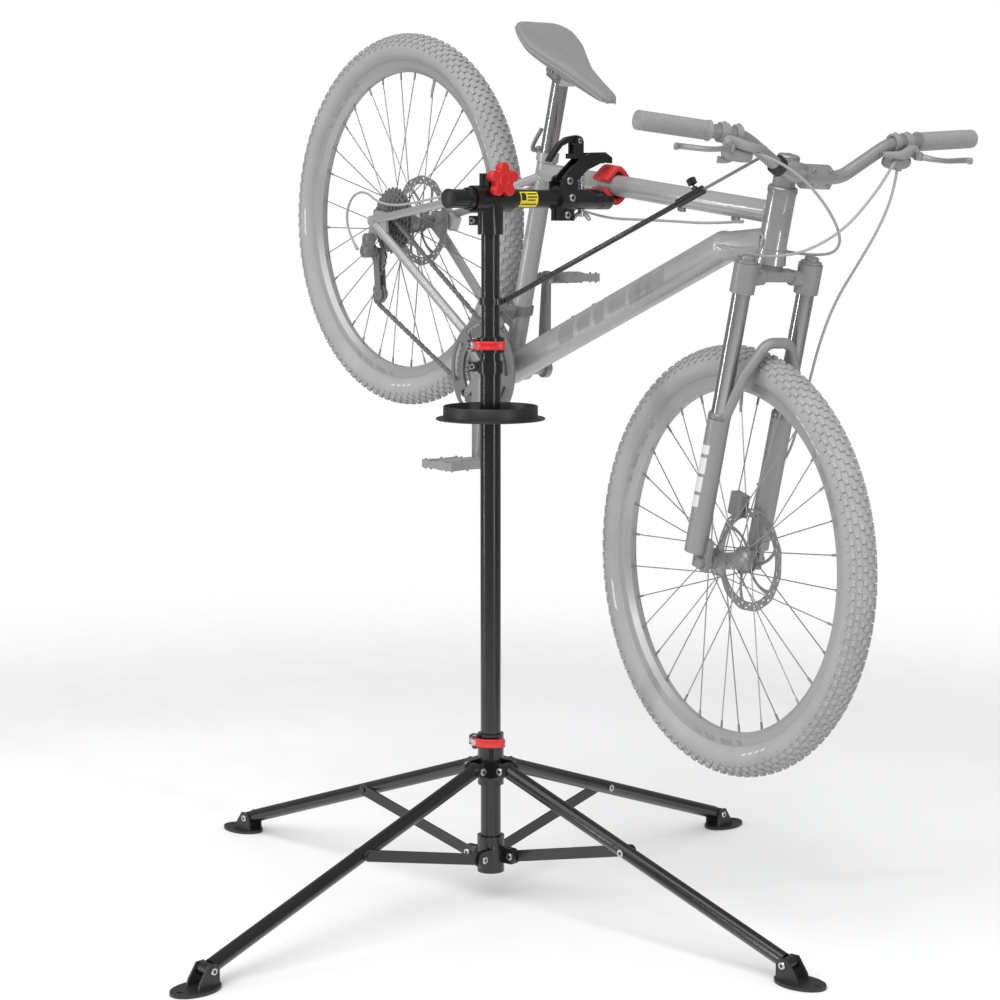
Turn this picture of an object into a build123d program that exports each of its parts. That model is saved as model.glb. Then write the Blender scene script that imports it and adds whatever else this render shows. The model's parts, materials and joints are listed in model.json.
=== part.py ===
from build123d import *
import os
from math import acos, atan2, cos, degrees, hypot, pi, radians, sin

# Bicycle held in a folding repair stand. Millimetres. Stand frame: pole axis on Z,
# arm along +Y, bicycle heading along +X, floor at Z 0.

# ---------------------------------------------------------------- stand sizes
LOWER_POLE_R = 17.8
LOWER_POLE_WALL = 1.6
SLIDE_GAP = 0.3
UPPER_POLE_R = LOWER_POLE_R - LOWER_POLE_WALL - SLIDE_GAP
UPPER_POLE_WALL = 1.8
POLE_BOTTOM = 56
POLE_TOP = 998
UPPER_POLE_BOTTOM = 640
HUB_R = 24
HUB_BOTTOM = 51
HUB_TOP = 116
HINGE_R = 38
STRUT_HINGE_Z = 81
COLLAR_R = 24.5
COLLAR_BOTTOM = 209
COLLAR_TOP = 300
LEG_HINGE_Z = 239
LEG_TUBE_R = 12.5
LEG_WALL = 1.5
LEG_COUNT = 4
LEG_AZIMUTH = 9.2
FOOT_PIVOT_RADIUS = 650
FOOT_PIVOT_Z = 29
FOOT_LENGTH = 92
FOOT_WIDTH = 62
FOOT_THICK = 5
FOOT_OFFSET = 23
FOOT_HOLE_R = 4
MID_PIVOT_RADIUS = 312
STRUT_WIDTH = 20
STRUT_THICK = 3
OPEN_PIVOT_GAP = 0.5
EAR_GAP = 0.4
EAR_THICK = 4
BOLT_R = 3.0
BORE_GAP = 0.05
BOLT_HEAD_R = 5.5
UPPER_LEVER_Z = 983
CLAMP_COLLAR_Z = 945
LOWER_LEVER_Z = 287
TRAY_Z = 854
TRAY_FLANGE_R = 95
TRAY_RIM_R = 82
TRAY_RIM_HEIGHT = 24
TRAY_WALL = 2
ARM_Z = 1233
ARM_R = 16
ARM_WALL = 2
ARM_LEFT = -90
ARM_RIGHT = 176
HEAD_R = 22.5
HEAD_BOTTOM = 1172
JAW_LEFT = 143
JAW_RIGHT = 262
JAW_R = 18.5
JAW_HINGE_Y = 159
JAW_HINGE_Z = 1264
JAW_SLOPE = 6.8
JAW_PAD_START = 250
JAW_PAD_END = 290
JAW_PAD_HALF = 17
CAM_PIN_Y = 189
CAM_PIN_Z = 1334
STUD_Y = 201
KNOB_Z = 1264
ROD_COLLAR_Z = 1058
ROD_START = (26, 8, 1058)
ROD_END = (508, 180, 1310)
ROD_R = 4.5
ROD_OUTER_LENGTH = 428
ROD_SHORT_OF_BAR = 17
ROD_SLEEVE_R = 7.5
INNER_ROD_R = 2.6
ROD_SLEEVE_LENGTH = 52
ROD_SCREW_BACK = 14
# ---------------------------------------------------------------- bicycle sizes
BIKE_Y = 271.2
REAR_HUB = (-637.4, BIKE_Y, 1192.2)
NOSE_DOWN = 30.76
CROWN_X = 930.4
CROWN_Z = 467.2
HEAD_ANGLE = 72.7
STEER_ANGLE = -6.74
FORK_LENGTH = 501.8
FORK_OFFSET = 40
HEAD_TUBE_LOW = 10
HEAD_TUBE_HIGH = 136
HEAD_TUBE_R = 23.5
STEERER_R = 14.3
BAR_Z = 171.2
STEM_REACH = 74.5
BAR_RISE = 70
BAR_SWEEP = 27.6
BAR_HALF = 337
BAR_BEND = 150
BAR_FLAT = 52
BAR_R = 11.1
CLAMP_R = 15.9
GRIP_R = 15.5
GRIP_LENGTH = 126
LEVER_R = 4.5
BB_X = 442
BB_Z = -61.7
BB_R = 21
BB_HALF = 36.5
SPINDLE_R = 12
SEAT_ANGLE = 74.4
SEAT_TUBE_LENGTH = 420
SEAT_TUBE_R = 17.8
SEATPOST_R = 15.4
SEATPOST_TOP = 560
SEATPOST_LENGTH = 340
TOP_TUBE_R = 18.5
DOWN_TUBE_R = 28
STAY_R = 9
TYRE_R = 368
TYRE_HALF = 27
RIM_BED_R = 308
RIM_INNER_R = 292
RIM_HALF = 14
SPOKES = 32
SPOKE_R = 0.9
SPOKE_LEAN = 62
HUB_FLANGE_R = 24
HUB_FLANGE_Y = 27
ROTOR_R = 90
ROTOR_Y = 41
LEG_SPACING = 66
LOWER_LEG_R = 19
STANCHION_R = 15
CHAIN_Y = -57
RING_PITCH_R = 64.7
COG_PITCH_R = 26.3
PULLEY_PITCH_R = 22.3
UPPER_PULLEY = (28, -66)
LOWER_PULLEY = (72, -126)
CHAIN_HALF_HEIGHT = 4.1
CHAIN_HALF_WIDTH = 3.3
CHAIN_GAP = 0.5
CRANK_LENGTH = 172
CRANK_ANGLE = -61.1
PEDAL_INNER = -91
PEDAL_OUTER = -174
PEDAL_LENGTH = 96
PEDAL_HEIGHT = 16
SADDLE_LENGTH = 270
SADDLE_HALF = 68
CABLE_R = 2.4
AXLE_R = 5
LINK_PITCH = 12.7
CASSETTE_TEETH = (15, 17, 19, 21, 24, 28, 32)
CASSETTE_STEP = 4.35
CARRIER_R = 17
OUTER_RING_R = 90
INNER_RING_R = 46
GUARD_R = 98
CRANK_INNER_Y = 74
CRANK_OUTER_Y = 86
CRANK_BOSS_R = 19
CRANK_EYE_R = 13
PEDAL_SPINDLE_R = 6
DROPOUT_Y = 74.5

NODES = {}


SIDE_PLANE = Plane(origin=(0, 0, 0), x_dir=(1, 0, 0), z_dir=(0, -1, 0))
ARM_PLANE = Plane(origin=(0, 0, 0), x_dir=(0, 1, 0), z_dir=(1, 0, 0))


def rod(start, end, radius):
    """Cylinder between two points."""
    a = Vector(*start)
    b = Vector(*end)
    place = Plane(origin=a, z_dir=b - a)
    return place * Cylinder(radius, (b - a).length, align=(Align.CENTER, Align.CENTER, Align.MIN))


def pipe(start, end, outer, inner):
    """Hollow cylinder between two points."""
    return rod(start, end, outer) - rod(start, end, inner)


def taper(start, end, first, last):
    """Cone frustum between two points."""
    a = Vector(*start)
    b = Vector(*end)
    place = Plane(origin=a, z_dir=b - a)
    return place * Cone(first, last, (b - a).length, align=(Align.CENTER, Align.CENTER, Align.MIN))


def block(x_range, y_range, z_range):
    """Box from three ranges."""
    size = [high - low for low, high in (x_range, y_range, z_range)]
    middle = [(low + high) / 2 for low, high in (x_range, y_range, z_range)]
    return Pos(*middle) * Box(*size)


def outline(points, plane, low, high):
    """Polygon drawn in a plane and extruded between two distances along its normal."""
    face = make_face(Polyline(*points, close=True))
    return plane * Pos(0, 0, low) * extrude(face, amount=high - low)


def tube_along(points, radius, radii):
    """Round bar along straight runs joined by tangent arcs."""
    path = FilletPolyline(*points, radius=radii)
    start = path @ 0
    direction = path % 0
    return sweep(Plane(origin=start, z_dir=direction) * Circle(radius), path=path)


def corner_radii(points):
    """Largest tangent arcs: 0.45 of the shorter run over the tangent of half the turn."""
    radii = []
    for before, here, after in zip(points, points[1:], points[2:]):
        one = Vector(*here) - Vector(*before)
        two = Vector(*after) - Vector(*here)
        turn = radians(one.get_angle(two))
        radii.append(0.45 * min(one.length, two.length) / (sin(turn / 2) / cos(turn / 2)))
    return radii


def solids_of(shape):
    """Separate solids of one piece or of a list of pieces."""
    if isinstance(shape, (list, tuple)):
        found = []
        for piece in shape:
            found += solids_of(piece)
        return found
    return list(shape.solids())


def add(name, *shapes, place=None):
    """Store a node as its separate solids, in the stand frame."""
    found = solids_of(list(shapes))
    if place is not None:
        found = [place * solid for solid in found]
    NODES[name] = found


# ---------------------------------------------------------------- stand
def around(azimuth):
    return Rot(0, 0, azimuth)


def lug(z, height, azimuth, inner):
    """Bolt lug pair that stands out of a collar."""
    body = block((inner - 4, inner + 14), (-9, 9), (z - height / 2, z + height / 2))
    slot = block((inner + 1, inner + 15), (-1.2, 1.2), (z - height / 2 - 1, z + height / 2 + 1))
    return around(azimuth) * (body - slot)


def lug_bolt(z, azimuth, inner):
    """Cross bolt of a lug pair with its head on the side of smaller azimuth."""
    shank = rod((inner + 8, -12.5, z), (inner + 8, -9, z), BOLT_HEAD_R)
    nut = rod((inner + 8, 9, z), (inner + 8, 12.5, z), BOLT_HEAD_R - 0.6)
    return around(azimuth) * shank, around(azimuth) * nut


LUG_AZIMUTH = 215
LEVER_PIVOT_AZIMUTH = 258
LEVER_RADIUS = COLLAR_R + 6


def lever_pivot():
    """Place of a quick-release lever's pin, in plan."""
    angle = radians(LEVER_PIVOT_AZIMUTH)
    return LEVER_RADIUS * cos(angle), LEVER_RADIUS * sin(angle)


def lever(z):
    """Curved quick-release lever: an arc band, an eye round the pin and a flared tip."""
    band = Pos(0, 0, z) * (Cylinder(LEVER_RADIUS + 3.5, 15) - Cylinder(LEVER_RADIUS - 3.5, 16))
    wedge = [(0, 0)]
    for step in range(8):
        angle = radians(LEVER_PIVOT_AZIMUTH + 15 * step + 4)
        wedge.append((90 * cos(angle), 90 * sin(angle)))
    keep = outline(wedge, Plane.XY, z - 9, z + 9)
    x, y = lever_pivot()
    eye = rod((x, y, z - 7.5), (x, y, z + 7.5), 5.5)
    tip_angle = LEVER_PIVOT_AZIMUTH + 15 * 7 + 4
    tip = around(tip_angle) * block((LEVER_RADIUS - 3.4, LEVER_RADIUS + 3.4), (-2, 13), (z - 7.5, z + 7.5))
    hole = rod((x, y, z - 9), (x, y, z + 9), BOLT_R + BORE_GAP)
    return (band & keep) + eye + tip - hole


def lever_bracket(z):
    """Ears and pin that carry a lever on its collar."""
    x, y = lever_pivot()
    pieces = []
    for side in (-1, 1):
        low, high = sorted((z + side * 7.9, z + side * 10.9))
        ear = rod((x, y, low), (x, y, high), 5.5)
        arm = around(LEVER_PIVOT_AZIMUTH) * block((COLLAR_R - 3, LEVER_RADIUS), (-5.5, 5.5), (low, high))
        pieces.append(ear + arm)
    pin = rod((x, y, z - 12.4), (x, y, z + 12.4), BOLT_R)
    return pieces, pin


def build_pole():
    pole = pipe((0, 0, POLE_BOTTOM), (0, 0, POLE_TOP), LOWER_POLE_R, LOWER_POLE_R - LOWER_POLE_WALL)
    add("lower_pole", pole)
    tube = pipe((0, 0, HUB_BOTTOM), (0, 0, HUB_TOP), HUB_R, LOWER_POLE_R)
    floor = rod((0, 0, HUB_BOTTOM), (0, 0, POLE_BOTTOM), HUB_R - 1)
    hub = tube + floor
    bolts = []
    for index in range(LEG_COUNT):
        turn = around(LEG_AZIMUTH + 90 * index)
        inner_t = LEG_TUBE_R + OPEN_PIVOT_GAP
        outer_t = inner_t + STRUT_THICK
        for low, high in ((inner_t - EAR_GAP - EAR_THICK, inner_t - EAR_GAP),
                          (outer_t + EAR_GAP, outer_t + EAR_GAP + EAR_THICK)):
            ear = block((4, HINGE_R), (low, high), (STRUT_HINGE_Z - 14, STRUT_HINGE_Z + 14))
            ear += rod((HINGE_R, low, STRUT_HINGE_Z), (HINGE_R, high, STRUT_HINGE_Z), 14)
            hub += turn * (ear - rod((0, 0, 0), (0, 0, 200), LOWER_POLE_R + 1))
        low = inner_t - EAR_GAP - EAR_THICK
        high = outer_t + EAR_GAP + EAR_THICK
        bolt = rod((HINGE_R, low - 0.2, STRUT_HINGE_Z), (HINGE_R, high + 0.2, STRUT_HINGE_Z), BOLT_R)
        bolt += rod((HINGE_R, low - 3, STRUT_HINGE_Z), (HINGE_R, low, STRUT_HINGE_Z), BOLT_HEAD_R)
        bolt += rod((HINGE_R, high, STRUT_HINGE_Z), (HINGE_R, high + 3, STRUT_HINGE_Z), BOLT_HEAD_R)
        hub -= turn * rod((HINGE_R, low, STRUT_HINGE_Z), (HINGE_R, high, STRUT_HINGE_Z), BOLT_R)
        bolts.append(turn * bolt)
    hub -= rod((0, 0, POLE_BOTTOM), (0, 0, HUB_TOP + 1), LOWER_POLE_R)
    add("base_hub", hub, bolts)
    clamp = pipe((0, 0, CLAMP_COLLAR_Z - 11), (0, 0, CLAMP_COLLAR_Z + 11), 22, LOWER_POLE_R)
    clamp += lug(CLAMP_COLLAR_Z, 16, LUG_AZIMUTH, 22) - rod((0, 0, 900), (0, 0, 990), LOWER_POLE_R)
    clamp_bolt = lug_bolt(CLAMP_COLLAR_Z, LUG_AZIMUTH, 22)
    band = pipe((0, 0, UPPER_LEVER_Z - 13), (0, 0, UPPER_LEVER_Z + 13), COLLAR_R, LOWER_POLE_R)
    band += lug(UPPER_LEVER_Z, 16, LUG_AZIMUTH, COLLAR_R) - rod((0, 0, 900), (0, 0, 1000), LOWER_POLE_R)
    ears, pin = lever_bracket(UPPER_LEVER_Z)
    band_bolt = lug_bolt(UPPER_LEVER_Z, LUG_AZIMUTH, COLLAR_R)
    add("pole_collars", clamp, clamp_bolt, band + ears, pin, band_bolt)
    add("upper_lever", lever(UPPER_LEVER_Z))
    tray_gap = LOWER_POLE_R + 0.1
    base = pipe((0, 0, TRAY_Z), (0, 0, TRAY_Z + 3), TRAY_FLANGE_R, tray_gap)
    rim = pipe((0, 0, TRAY_Z), (0, 0, TRAY_Z + TRAY_RIM_HEIGHT), TRAY_RIM_R, TRAY_RIM_R - TRAY_WALL)
    boss = pipe((0, 0, TRAY_Z), (0, 0, TRAY_Z + 12), tray_gap + 3, tray_gap)
    rib = block((tray_gap + 2, TRAY_RIM_R - 1), (-1, 1), (TRAY_Z, TRAY_Z + 10))
    ribs = [around(90 * k + 45) * rib for k in range(4)]
    add("tool_tray", base + rim + boss + ribs)


def build_legs():
    sleeve_r = COLLAR_R - 1.5
    sleeve = pipe((0, 0, COLLAR_BOTTOM), (0, 0, COLLAR_TOP), sleeve_r, LOWER_POLE_R + SLIDE_GAP)
    ears, pin = lever_bracket(LOWER_LEVER_Z)
    sleeve += ears
    sleeve += lug(LOWER_LEVER_Z, 16, LUG_AZIMUTH, sleeve_r)
    ear_low = LEG_TUBE_R + EAR_GAP
    ear_high = ear_low + EAR_THICK
    bolts = []
    for index in range(LEG_COUNT):
        turn = around(LEG_AZIMUTH + 90 * index)
        for side in (-1, 1):
            low, high = sorted((side * ear_low, side * ear_high))
            ear = block((4, HINGE_R), (low, high), (LEG_HINGE_Z - 17, LEG_HINGE_Z + 15))
            ear += rod((HINGE_R, low, LEG_HINGE_Z), (HINGE_R, high, LEG_HINGE_Z), 13)
            sleeve += turn * ear
        bolt = rod((HINGE_R, -ear_high, LEG_HINGE_Z), (HINGE_R, ear_high, LEG_HINGE_Z), BOLT_R)
        for side in (-1, 1):
            bolt += rod((HINGE_R, side * ear_high, LEG_HINGE_Z), (HINGE_R, side * (ear_high + 3), LEG_HINGE_Z),
                        BOLT_HEAD_R)
        sleeve -= turn * rod((HINGE_R, -ear_high, LEG_HINGE_Z), (HINGE_R, ear_high, LEG_HINGE_Z), BOLT_R)
        bolts.append(turn * bolt)
    sleeve -= rod((0, 0, COLLAR_BOTTOM - 1), (0, 0, COLLAR_TOP + 1), LOWER_POLE_R + SLIDE_GAP)
    add("leg_collar", sleeve, pin, bolts, lug_bolt(LOWER_LEVER_Z, LUG_AZIMUTH, sleeve_r))
    add("lower_lever", lever(LOWER_LEVER_Z))
    reach = FOOT_PIVOT_RADIUS - HINGE_R
    drop = LEG_HINGE_Z - FOOT_PIVOT_Z
    length = hypot(reach, drop)
    ux = reach / length
    uz = -drop / length
    mid_z = LEG_HINGE_Z + (MID_PIVOT_RADIUS - HINGE_R) * uz / ux
    for index in range(LEG_COUNT):
        turn = around(LEG_AZIMUTH + 90 * index)
        start = (HINGE_R, 0, LEG_HINGE_Z)
        end = (FOOT_PIVOT_RADIUS, 0, FOOT_PIVOT_Z)
        near = (HINGE_R + 9 * ux, 0, LEG_HINGE_Z + 9 * uz)
        far = (FOOT_PIVOT_RADIUS - 9 * ux, 0, FOOT_PIVOT_Z - 9 * uz)
        tube = pipe(near, far, LEG_TUBE_R, LEG_TUBE_R - LEG_WALL)
        plug_a = rod((HINGE_R + 8 * ux, 0, LEG_HINGE_Z + 8 * uz),
                     (HINGE_R + 30 * ux, 0, LEG_HINGE_Z + 30 * uz), LEG_TUBE_R - 0.2)
        plug_b = rod((FOOT_PIVOT_RADIUS - 24 * ux, 0, FOOT_PIVOT_Z - 24 * uz), far, LEG_TUBE_R - 0.2)
        knuckle_a = rod((HINGE_R, -LEG_TUBE_R, LEG_HINGE_Z), (HINGE_R, LEG_TUBE_R, LEG_HINGE_Z), 12.3)
        knuckle_b = rod((FOOT_PIVOT_RADIUS, -LEG_TUBE_R, FOOT_PIVOT_Z),
                        (FOOT_PIVOT_RADIUS, LEG_TUBE_R, FOOT_PIVOT_Z), 11.5)
        leg = tube + plug_a + plug_b + knuckle_a + knuckle_b
        leg -= rod((start[0], -20, start[2]), (start[0], 20, start[2]), BOLT_R + BORE_GAP)
        leg -= rod((end[0], -20, end[2]), (end[0], 20, end[2]), BOLT_R + BORE_GAP)
        head = rod((MID_PIVOT_RADIUS, -LEG_TUBE_R - 2.6, mid_z), (MID_PIVOT_RADIUS, -LEG_TUBE_R + 1, mid_z),
                   BOLT_HEAD_R)
        add(f"leg_{index + 1}", turn * (leg + head))
        foot_x = FOOT_PIVOT_RADIUS + FOOT_OFFSET
        plate = Pos(foot_x, 0, 0) * extrude(Ellipse(FOOT_LENGTH / 2, FOOT_WIDTH / 2), amount=FOOT_THICK)
        plate -= rod((foot_x + 32, 0, -1), (foot_x + 32, 0, FOOT_THICK + 1), FOOT_HOLE_R)
        pin_piece = rod((end[0], -ear_high, end[2]), (end[0], ear_high, end[2]), BOLT_R)
        for side in (-1, 1):
            low, high = sorted((side * ear_low, side * (ear_low + 3.5)))
            shape = [(end[0] - 13, FOOT_THICK - 1), (end[0] + 30, FOOT_THICK - 1), (end[0] + 26, 16),
                     (end[0] + 9, 40), (end[0] - 7, 40), (end[0] - 13, 30)]
            ear = outline(shape, SIDE_PLANE, -high, -low)
            ear -= rod((end[0], -30, end[2]), (end[0], 30, end[2]), BOLT_R)
            plate += ear
            pin_piece += rod((end[0], side * (ear_low + 3.5), end[2]), (end[0], side * (ear_low + 6.5), end[2]),
                             BOLT_HEAD_R)
        add(f"foot_{index + 1}", turn * plate, turn * pin_piece)
        s_dx = MID_PIVOT_RADIUS - HINGE_R
        s_dz = mid_z - STRUT_HINGE_Z
        s_len = hypot(s_dx, s_dz)
        t_low = LEG_TUBE_R + OPEN_PIVOT_GAP
        t_high = t_low + STRUT_THICK
        bar = block((0, s_len), (t_low, t_high), (-STRUT_WIDTH / 2, STRUT_WIDTH / 2))
        bar += rod((0, t_low, 0), (0, t_high, 0), STRUT_WIDTH / 2)
        bar += rod((s_len, t_low, 0), (s_len, t_high, 0), STRUT_WIDTH / 2)
        bar -= rod((0, t_low - 1, 0), (0, t_high + 1, 0), BOLT_R + BORE_GAP)
        rivet = rod((s_len, t_high - 1, 0), (s_len, t_high + 2.6, 0), BOLT_HEAD_R)
        lift = Pos(HINGE_R, 0, STRUT_HINGE_Z) * Rot(0, -degrees(atan2(s_dz, s_dx)), 0)
        add(f"strut_{index + 1}", turn * (lift * (bar + rivet)))


def build_head():
    upper_top = ARM_Z - ARM_R - 4
    inner_r = UPPER_POLE_R - UPPER_POLE_WALL
    add("upper_pole", pipe((0, 0, UPPER_POLE_BOTTOM), (0, 0, upper_top), UPPER_POLE_R, inner_r))
    head = rod((0, 0, HEAD_BOTTOM), (0, 0, ARM_Z), HEAD_R - 0.5)
    head += rod((0, -40, ARM_Z), (0, 40, ARM_Z), HEAD_R)
    head += block((-13, 13), (-14, 14), (ARM_Z, KNOB_Z + 12))
    head -= block((-1.5, 1.5), (-15, 15), (ARM_Z + 5, KNOB_Z + 13))
    head -= rod((0, -50, ARM_Z), (0, 50, ARM_Z), ARM_R + 0.1)
    head -= rod((0, 0, HEAD_BOTTOM - 1), (0, 0, upper_top), UPPER_POLE_R)
    head += lug(1196, 16, LUG_AZIMUTH, HEAD_R - 0.5) - rod((0, 0, 1100), (0, 0, upper_top), UPPER_POLE_R)
    head -= rod((-14, 0, KNOB_Z), (14, 0, KNOB_Z), 4.05)
    add("arm_head", head, lug_bolt(1196, LUG_AZIMUTH, HEAD_R - 0.5))
    knob = rod((14, 0, KNOB_Z), (27, 0, KNOB_Z), 9)
    star = rod((26, 0, KNOB_Z), (42, 0, KNOB_Z), 17)
    for k in range(5):
        angle = radians(90 + 72 * k)
        y = 21 * cos(angle)
        z = KNOB_Z + 21 * sin(angle)
        star += rod((26, y, z), (42, y, z), 9.5)
    screw = rod((-19, 0, KNOB_Z), (20, 0, KNOB_Z), 4)
    add("head_knob", knob + star + screw)
    arm = pipe((0, ARM_LEFT, ARM_Z), (0, ARM_RIGHT, ARM_Z), ARM_R, ARM_R - ARM_WALL)
    cap = rod((0, ARM_LEFT - 3, ARM_Z), (0, ARM_LEFT, ARM_Z), ARM_R)
    ring = pipe((0, -52, ARM_Z), (0, -43, ARM_Z), ARM_R + 3, ARM_R)
    add("clamp_arm", arm + cap + ring)
    body = rod((0, JAW_LEFT, ARM_Z), (0, JAW_RIGHT, ARM_Z), JAW_R)
    body += rod((0, JAW_LEFT, ARM_Z), (0, 180, ARM_Z), JAW_R + 4)
    for side in (-1, 1):
        low, high = sorted((side * 13.6, side * 18.6))
        body += block((low, high), (JAW_LEFT, 180), (ARM_Z - 5, JAW_HINGE_Z))
        body += rod((low, JAW_HINGE_Y, JAW_HINGE_Z), (high, JAW_HINGE_Y, JAW_HINGE_Z), 11)
    body += block((-12, 12), (JAW_LEFT, 176), (ARM_Z - 38, ARM_Z - 10))
    body -= block((-1.5, 1.5), (JAW_LEFT - 1, 170), (ARM_Z - 39, ARM_Z - 10))
    body -= rod((0, JAW_LEFT - 1, ARM_Z), (0, ARM_RIGHT, ARM_Z), ARM_R)
    body -= rod((0, STUD_Y, ARM_Z - 40), (0, STUD_Y, ARM_Z + 40), 4.05)
    jaw_pin = rod((-19, JAW_HINGE_Y, JAW_HINGE_Z), (19, JAW_HINGE_Y, JAW_HINGE_Z), BOLT_R)
    body -= rod((-19, JAW_HINGE_Y, JAW_HINGE_Z), (19, JAW_HINGE_Y, JAW_HINGE_Z), BOLT_R)
    body -= bike_place() * rod(TOP_TUBE_START, TOP_TUBE_END, TOP_TUBE_R + EAR_GAP)
    bolt_heads = []
    for side in (-1, 1):
        jaw_pin += rod((side * 18.6, JAW_HINGE_Y, JAW_HINGE_Z), (side * 22, JAW_HINGE_Y, JAW_HINGE_Z),
                       BOLT_HEAD_R)
        bolt_heads.append(rod((side * 12, 160, ARM_Z - 28), (side * 15.5, 160, ARM_Z - 28), BOLT_HEAD_R))
        bolt_heads.append(rod((side * 22.4, 162, ARM_Z + 2), (side * 25.4, 162, ARM_Z + 2), BOLT_HEAD_R))
    add("clamp_body", body, jaw_pin, bolt_heads)


def bike_place():
    return Pos(*REAR_HUB) * Rot(0, NOSE_DOWN, 0)


def steer_place():
    return bike_place() * Pos(CROWN_X, 0, CROWN_Z) * Rot(0, HEAD_ANGLE - 90, 0) * Rot(0, 0, STEER_ANGLE)


SEAT_DIR = (-cos(radians(SEAT_ANGLE)), sin(radians(SEAT_ANGLE)))


def seat_point(along):
    return BB_X + SEAT_DIR[0] * along, 0, BB_Z + SEAT_DIR[1] * along


TOP_TUBE_START = (338.5, 0, 305)
TOP_TUBE_END = (902, 0, 556)
DOWN_TUBE_BEND = (822, 0, 442)
DOWN_TUBE_END = (912, 0, 505)


def build_clamp_jaws():
    """Pads and upper jaw, shaped round the gripped tube."""
    tube = bike_place() * rod(TOP_TUBE_START, TOP_TUBE_END, TOP_TUBE_R + EAR_GAP)
    pad_sides = ((-JAW_PAD_HALF, JAW_PAD_HALF), (JAW_PAD_START, JAW_PAD_END))
    lower = block(*pad_sides, (ARM_Z - 12, ARM_Z + 16))
    lower -= rod((0, 200, ARM_Z), (0, JAW_RIGHT, ARM_Z), JAW_R)
    lower -= Pos(0, BIKE_Y, ARM_Z + 24) * Rot(0, JAW_SLOPE, 0) * Rot(45, 0, 0) * Box(60, 26, 26)
    add("lower_jaw_pad", lower - tube)
    upper = block(*pad_sides, (ARM_Z + 34, ARM_Z + 62))
    upper -= Pos(0, BIKE_Y, ARM_Z + 26) * Rot(0, JAW_SLOPE, 0) * Rot(45, 0, 0) * Box(60, 26, 26)
    jaw_side = [(153, 1259), (172, 1256), (205, 1283), (240, 1297), (262, 1295.5), (262, 1306), (246, 1315),
                (214, 1314), (188, 1303), (165, 1284), (150, 1270)]
    jaw = outline(jaw_side, ARM_PLANE, 8.5, 13) + outline(jaw_side, ARM_PLANE, -13, -8.5)
    web = [(214, 1302), (240, 1305), (262, 1302), (262, 1306), (246, 1315), (214, 1314)]
    jaw += outline(web, ARM_PLANE, -13, 13)
    seat_side = jaw_side[:6] + [(246, 1330), (176, 1330)]
    jaw += block((-13, 13), (176, 200), (1303, 1312)) & outline(seat_side, ARM_PLANE, -14, 14)
    jaw -= rod((-20, JAW_HINGE_Y, JAW_HINGE_Z), (20, JAW_HINGE_Y, JAW_HINGE_Z), BOLT_R + BORE_GAP)
    for side in (-1, 1):
        low, high = sorted((side * 6.5, side * 11))
        jaw += block((low, high), (CAM_PIN_Y - 9, CAM_PIN_Y + 9), (1308, CAM_PIN_Z))
        jaw += rod((low, CAM_PIN_Y, CAM_PIN_Z), (high, CAM_PIN_Y, CAM_PIN_Z), 8)
    pin = rod((-12.5, CAM_PIN_Y, CAM_PIN_Z), (12.5, CAM_PIN_Y, CAM_PIN_Z), BOLT_R)
    jaw -= rod((-12, CAM_PIN_Y, CAM_PIN_Z), (12, CAM_PIN_Y, CAM_PIN_Z), BOLT_R)
    upper = upper - tube - jaw
    add("upper_jaw", jaw, pin)
    add("upper_jaw_pad", upper)
    lever_side = [(196, 1330), (196, 1340), (186, 1344), (165, 1340), (146, 1328), (128, 1306), (123, 1298),
                  (130, 1296), (141, 1310), (154, 1324), (170, 1331), (181, 1330)]
    cam = outline(lever_side, ARM_PLANE, -6, 6) + rod((-6, CAM_PIN_Y, CAM_PIN_Z), (6, CAM_PIN_Y, CAM_PIN_Z), 9.5)
    cam -= rod((-7, CAM_PIN_Y, CAM_PIN_Z), (7, CAM_PIN_Y, CAM_PIN_Z), BOLT_R + BORE_GAP)
    add("cam_lever", cam)
    nut_z = ARM_Z - JAW_R - 7
    stud = rod((0, STUD_Y, nut_z - 6), (0, STUD_Y, 1296), 4)
    wings = rod((0, STUD_Y, nut_z - 5), (0, STUD_Y, nut_z + 5), 7)
    for side in (-1, 1):
        wings += Pos(0, STUD_Y + side * 10, nut_z - 3) * Rot(side * 35, 0, 0) * Box(3, 14, 9)
    add("wing_bolt", stud + wings)


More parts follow.
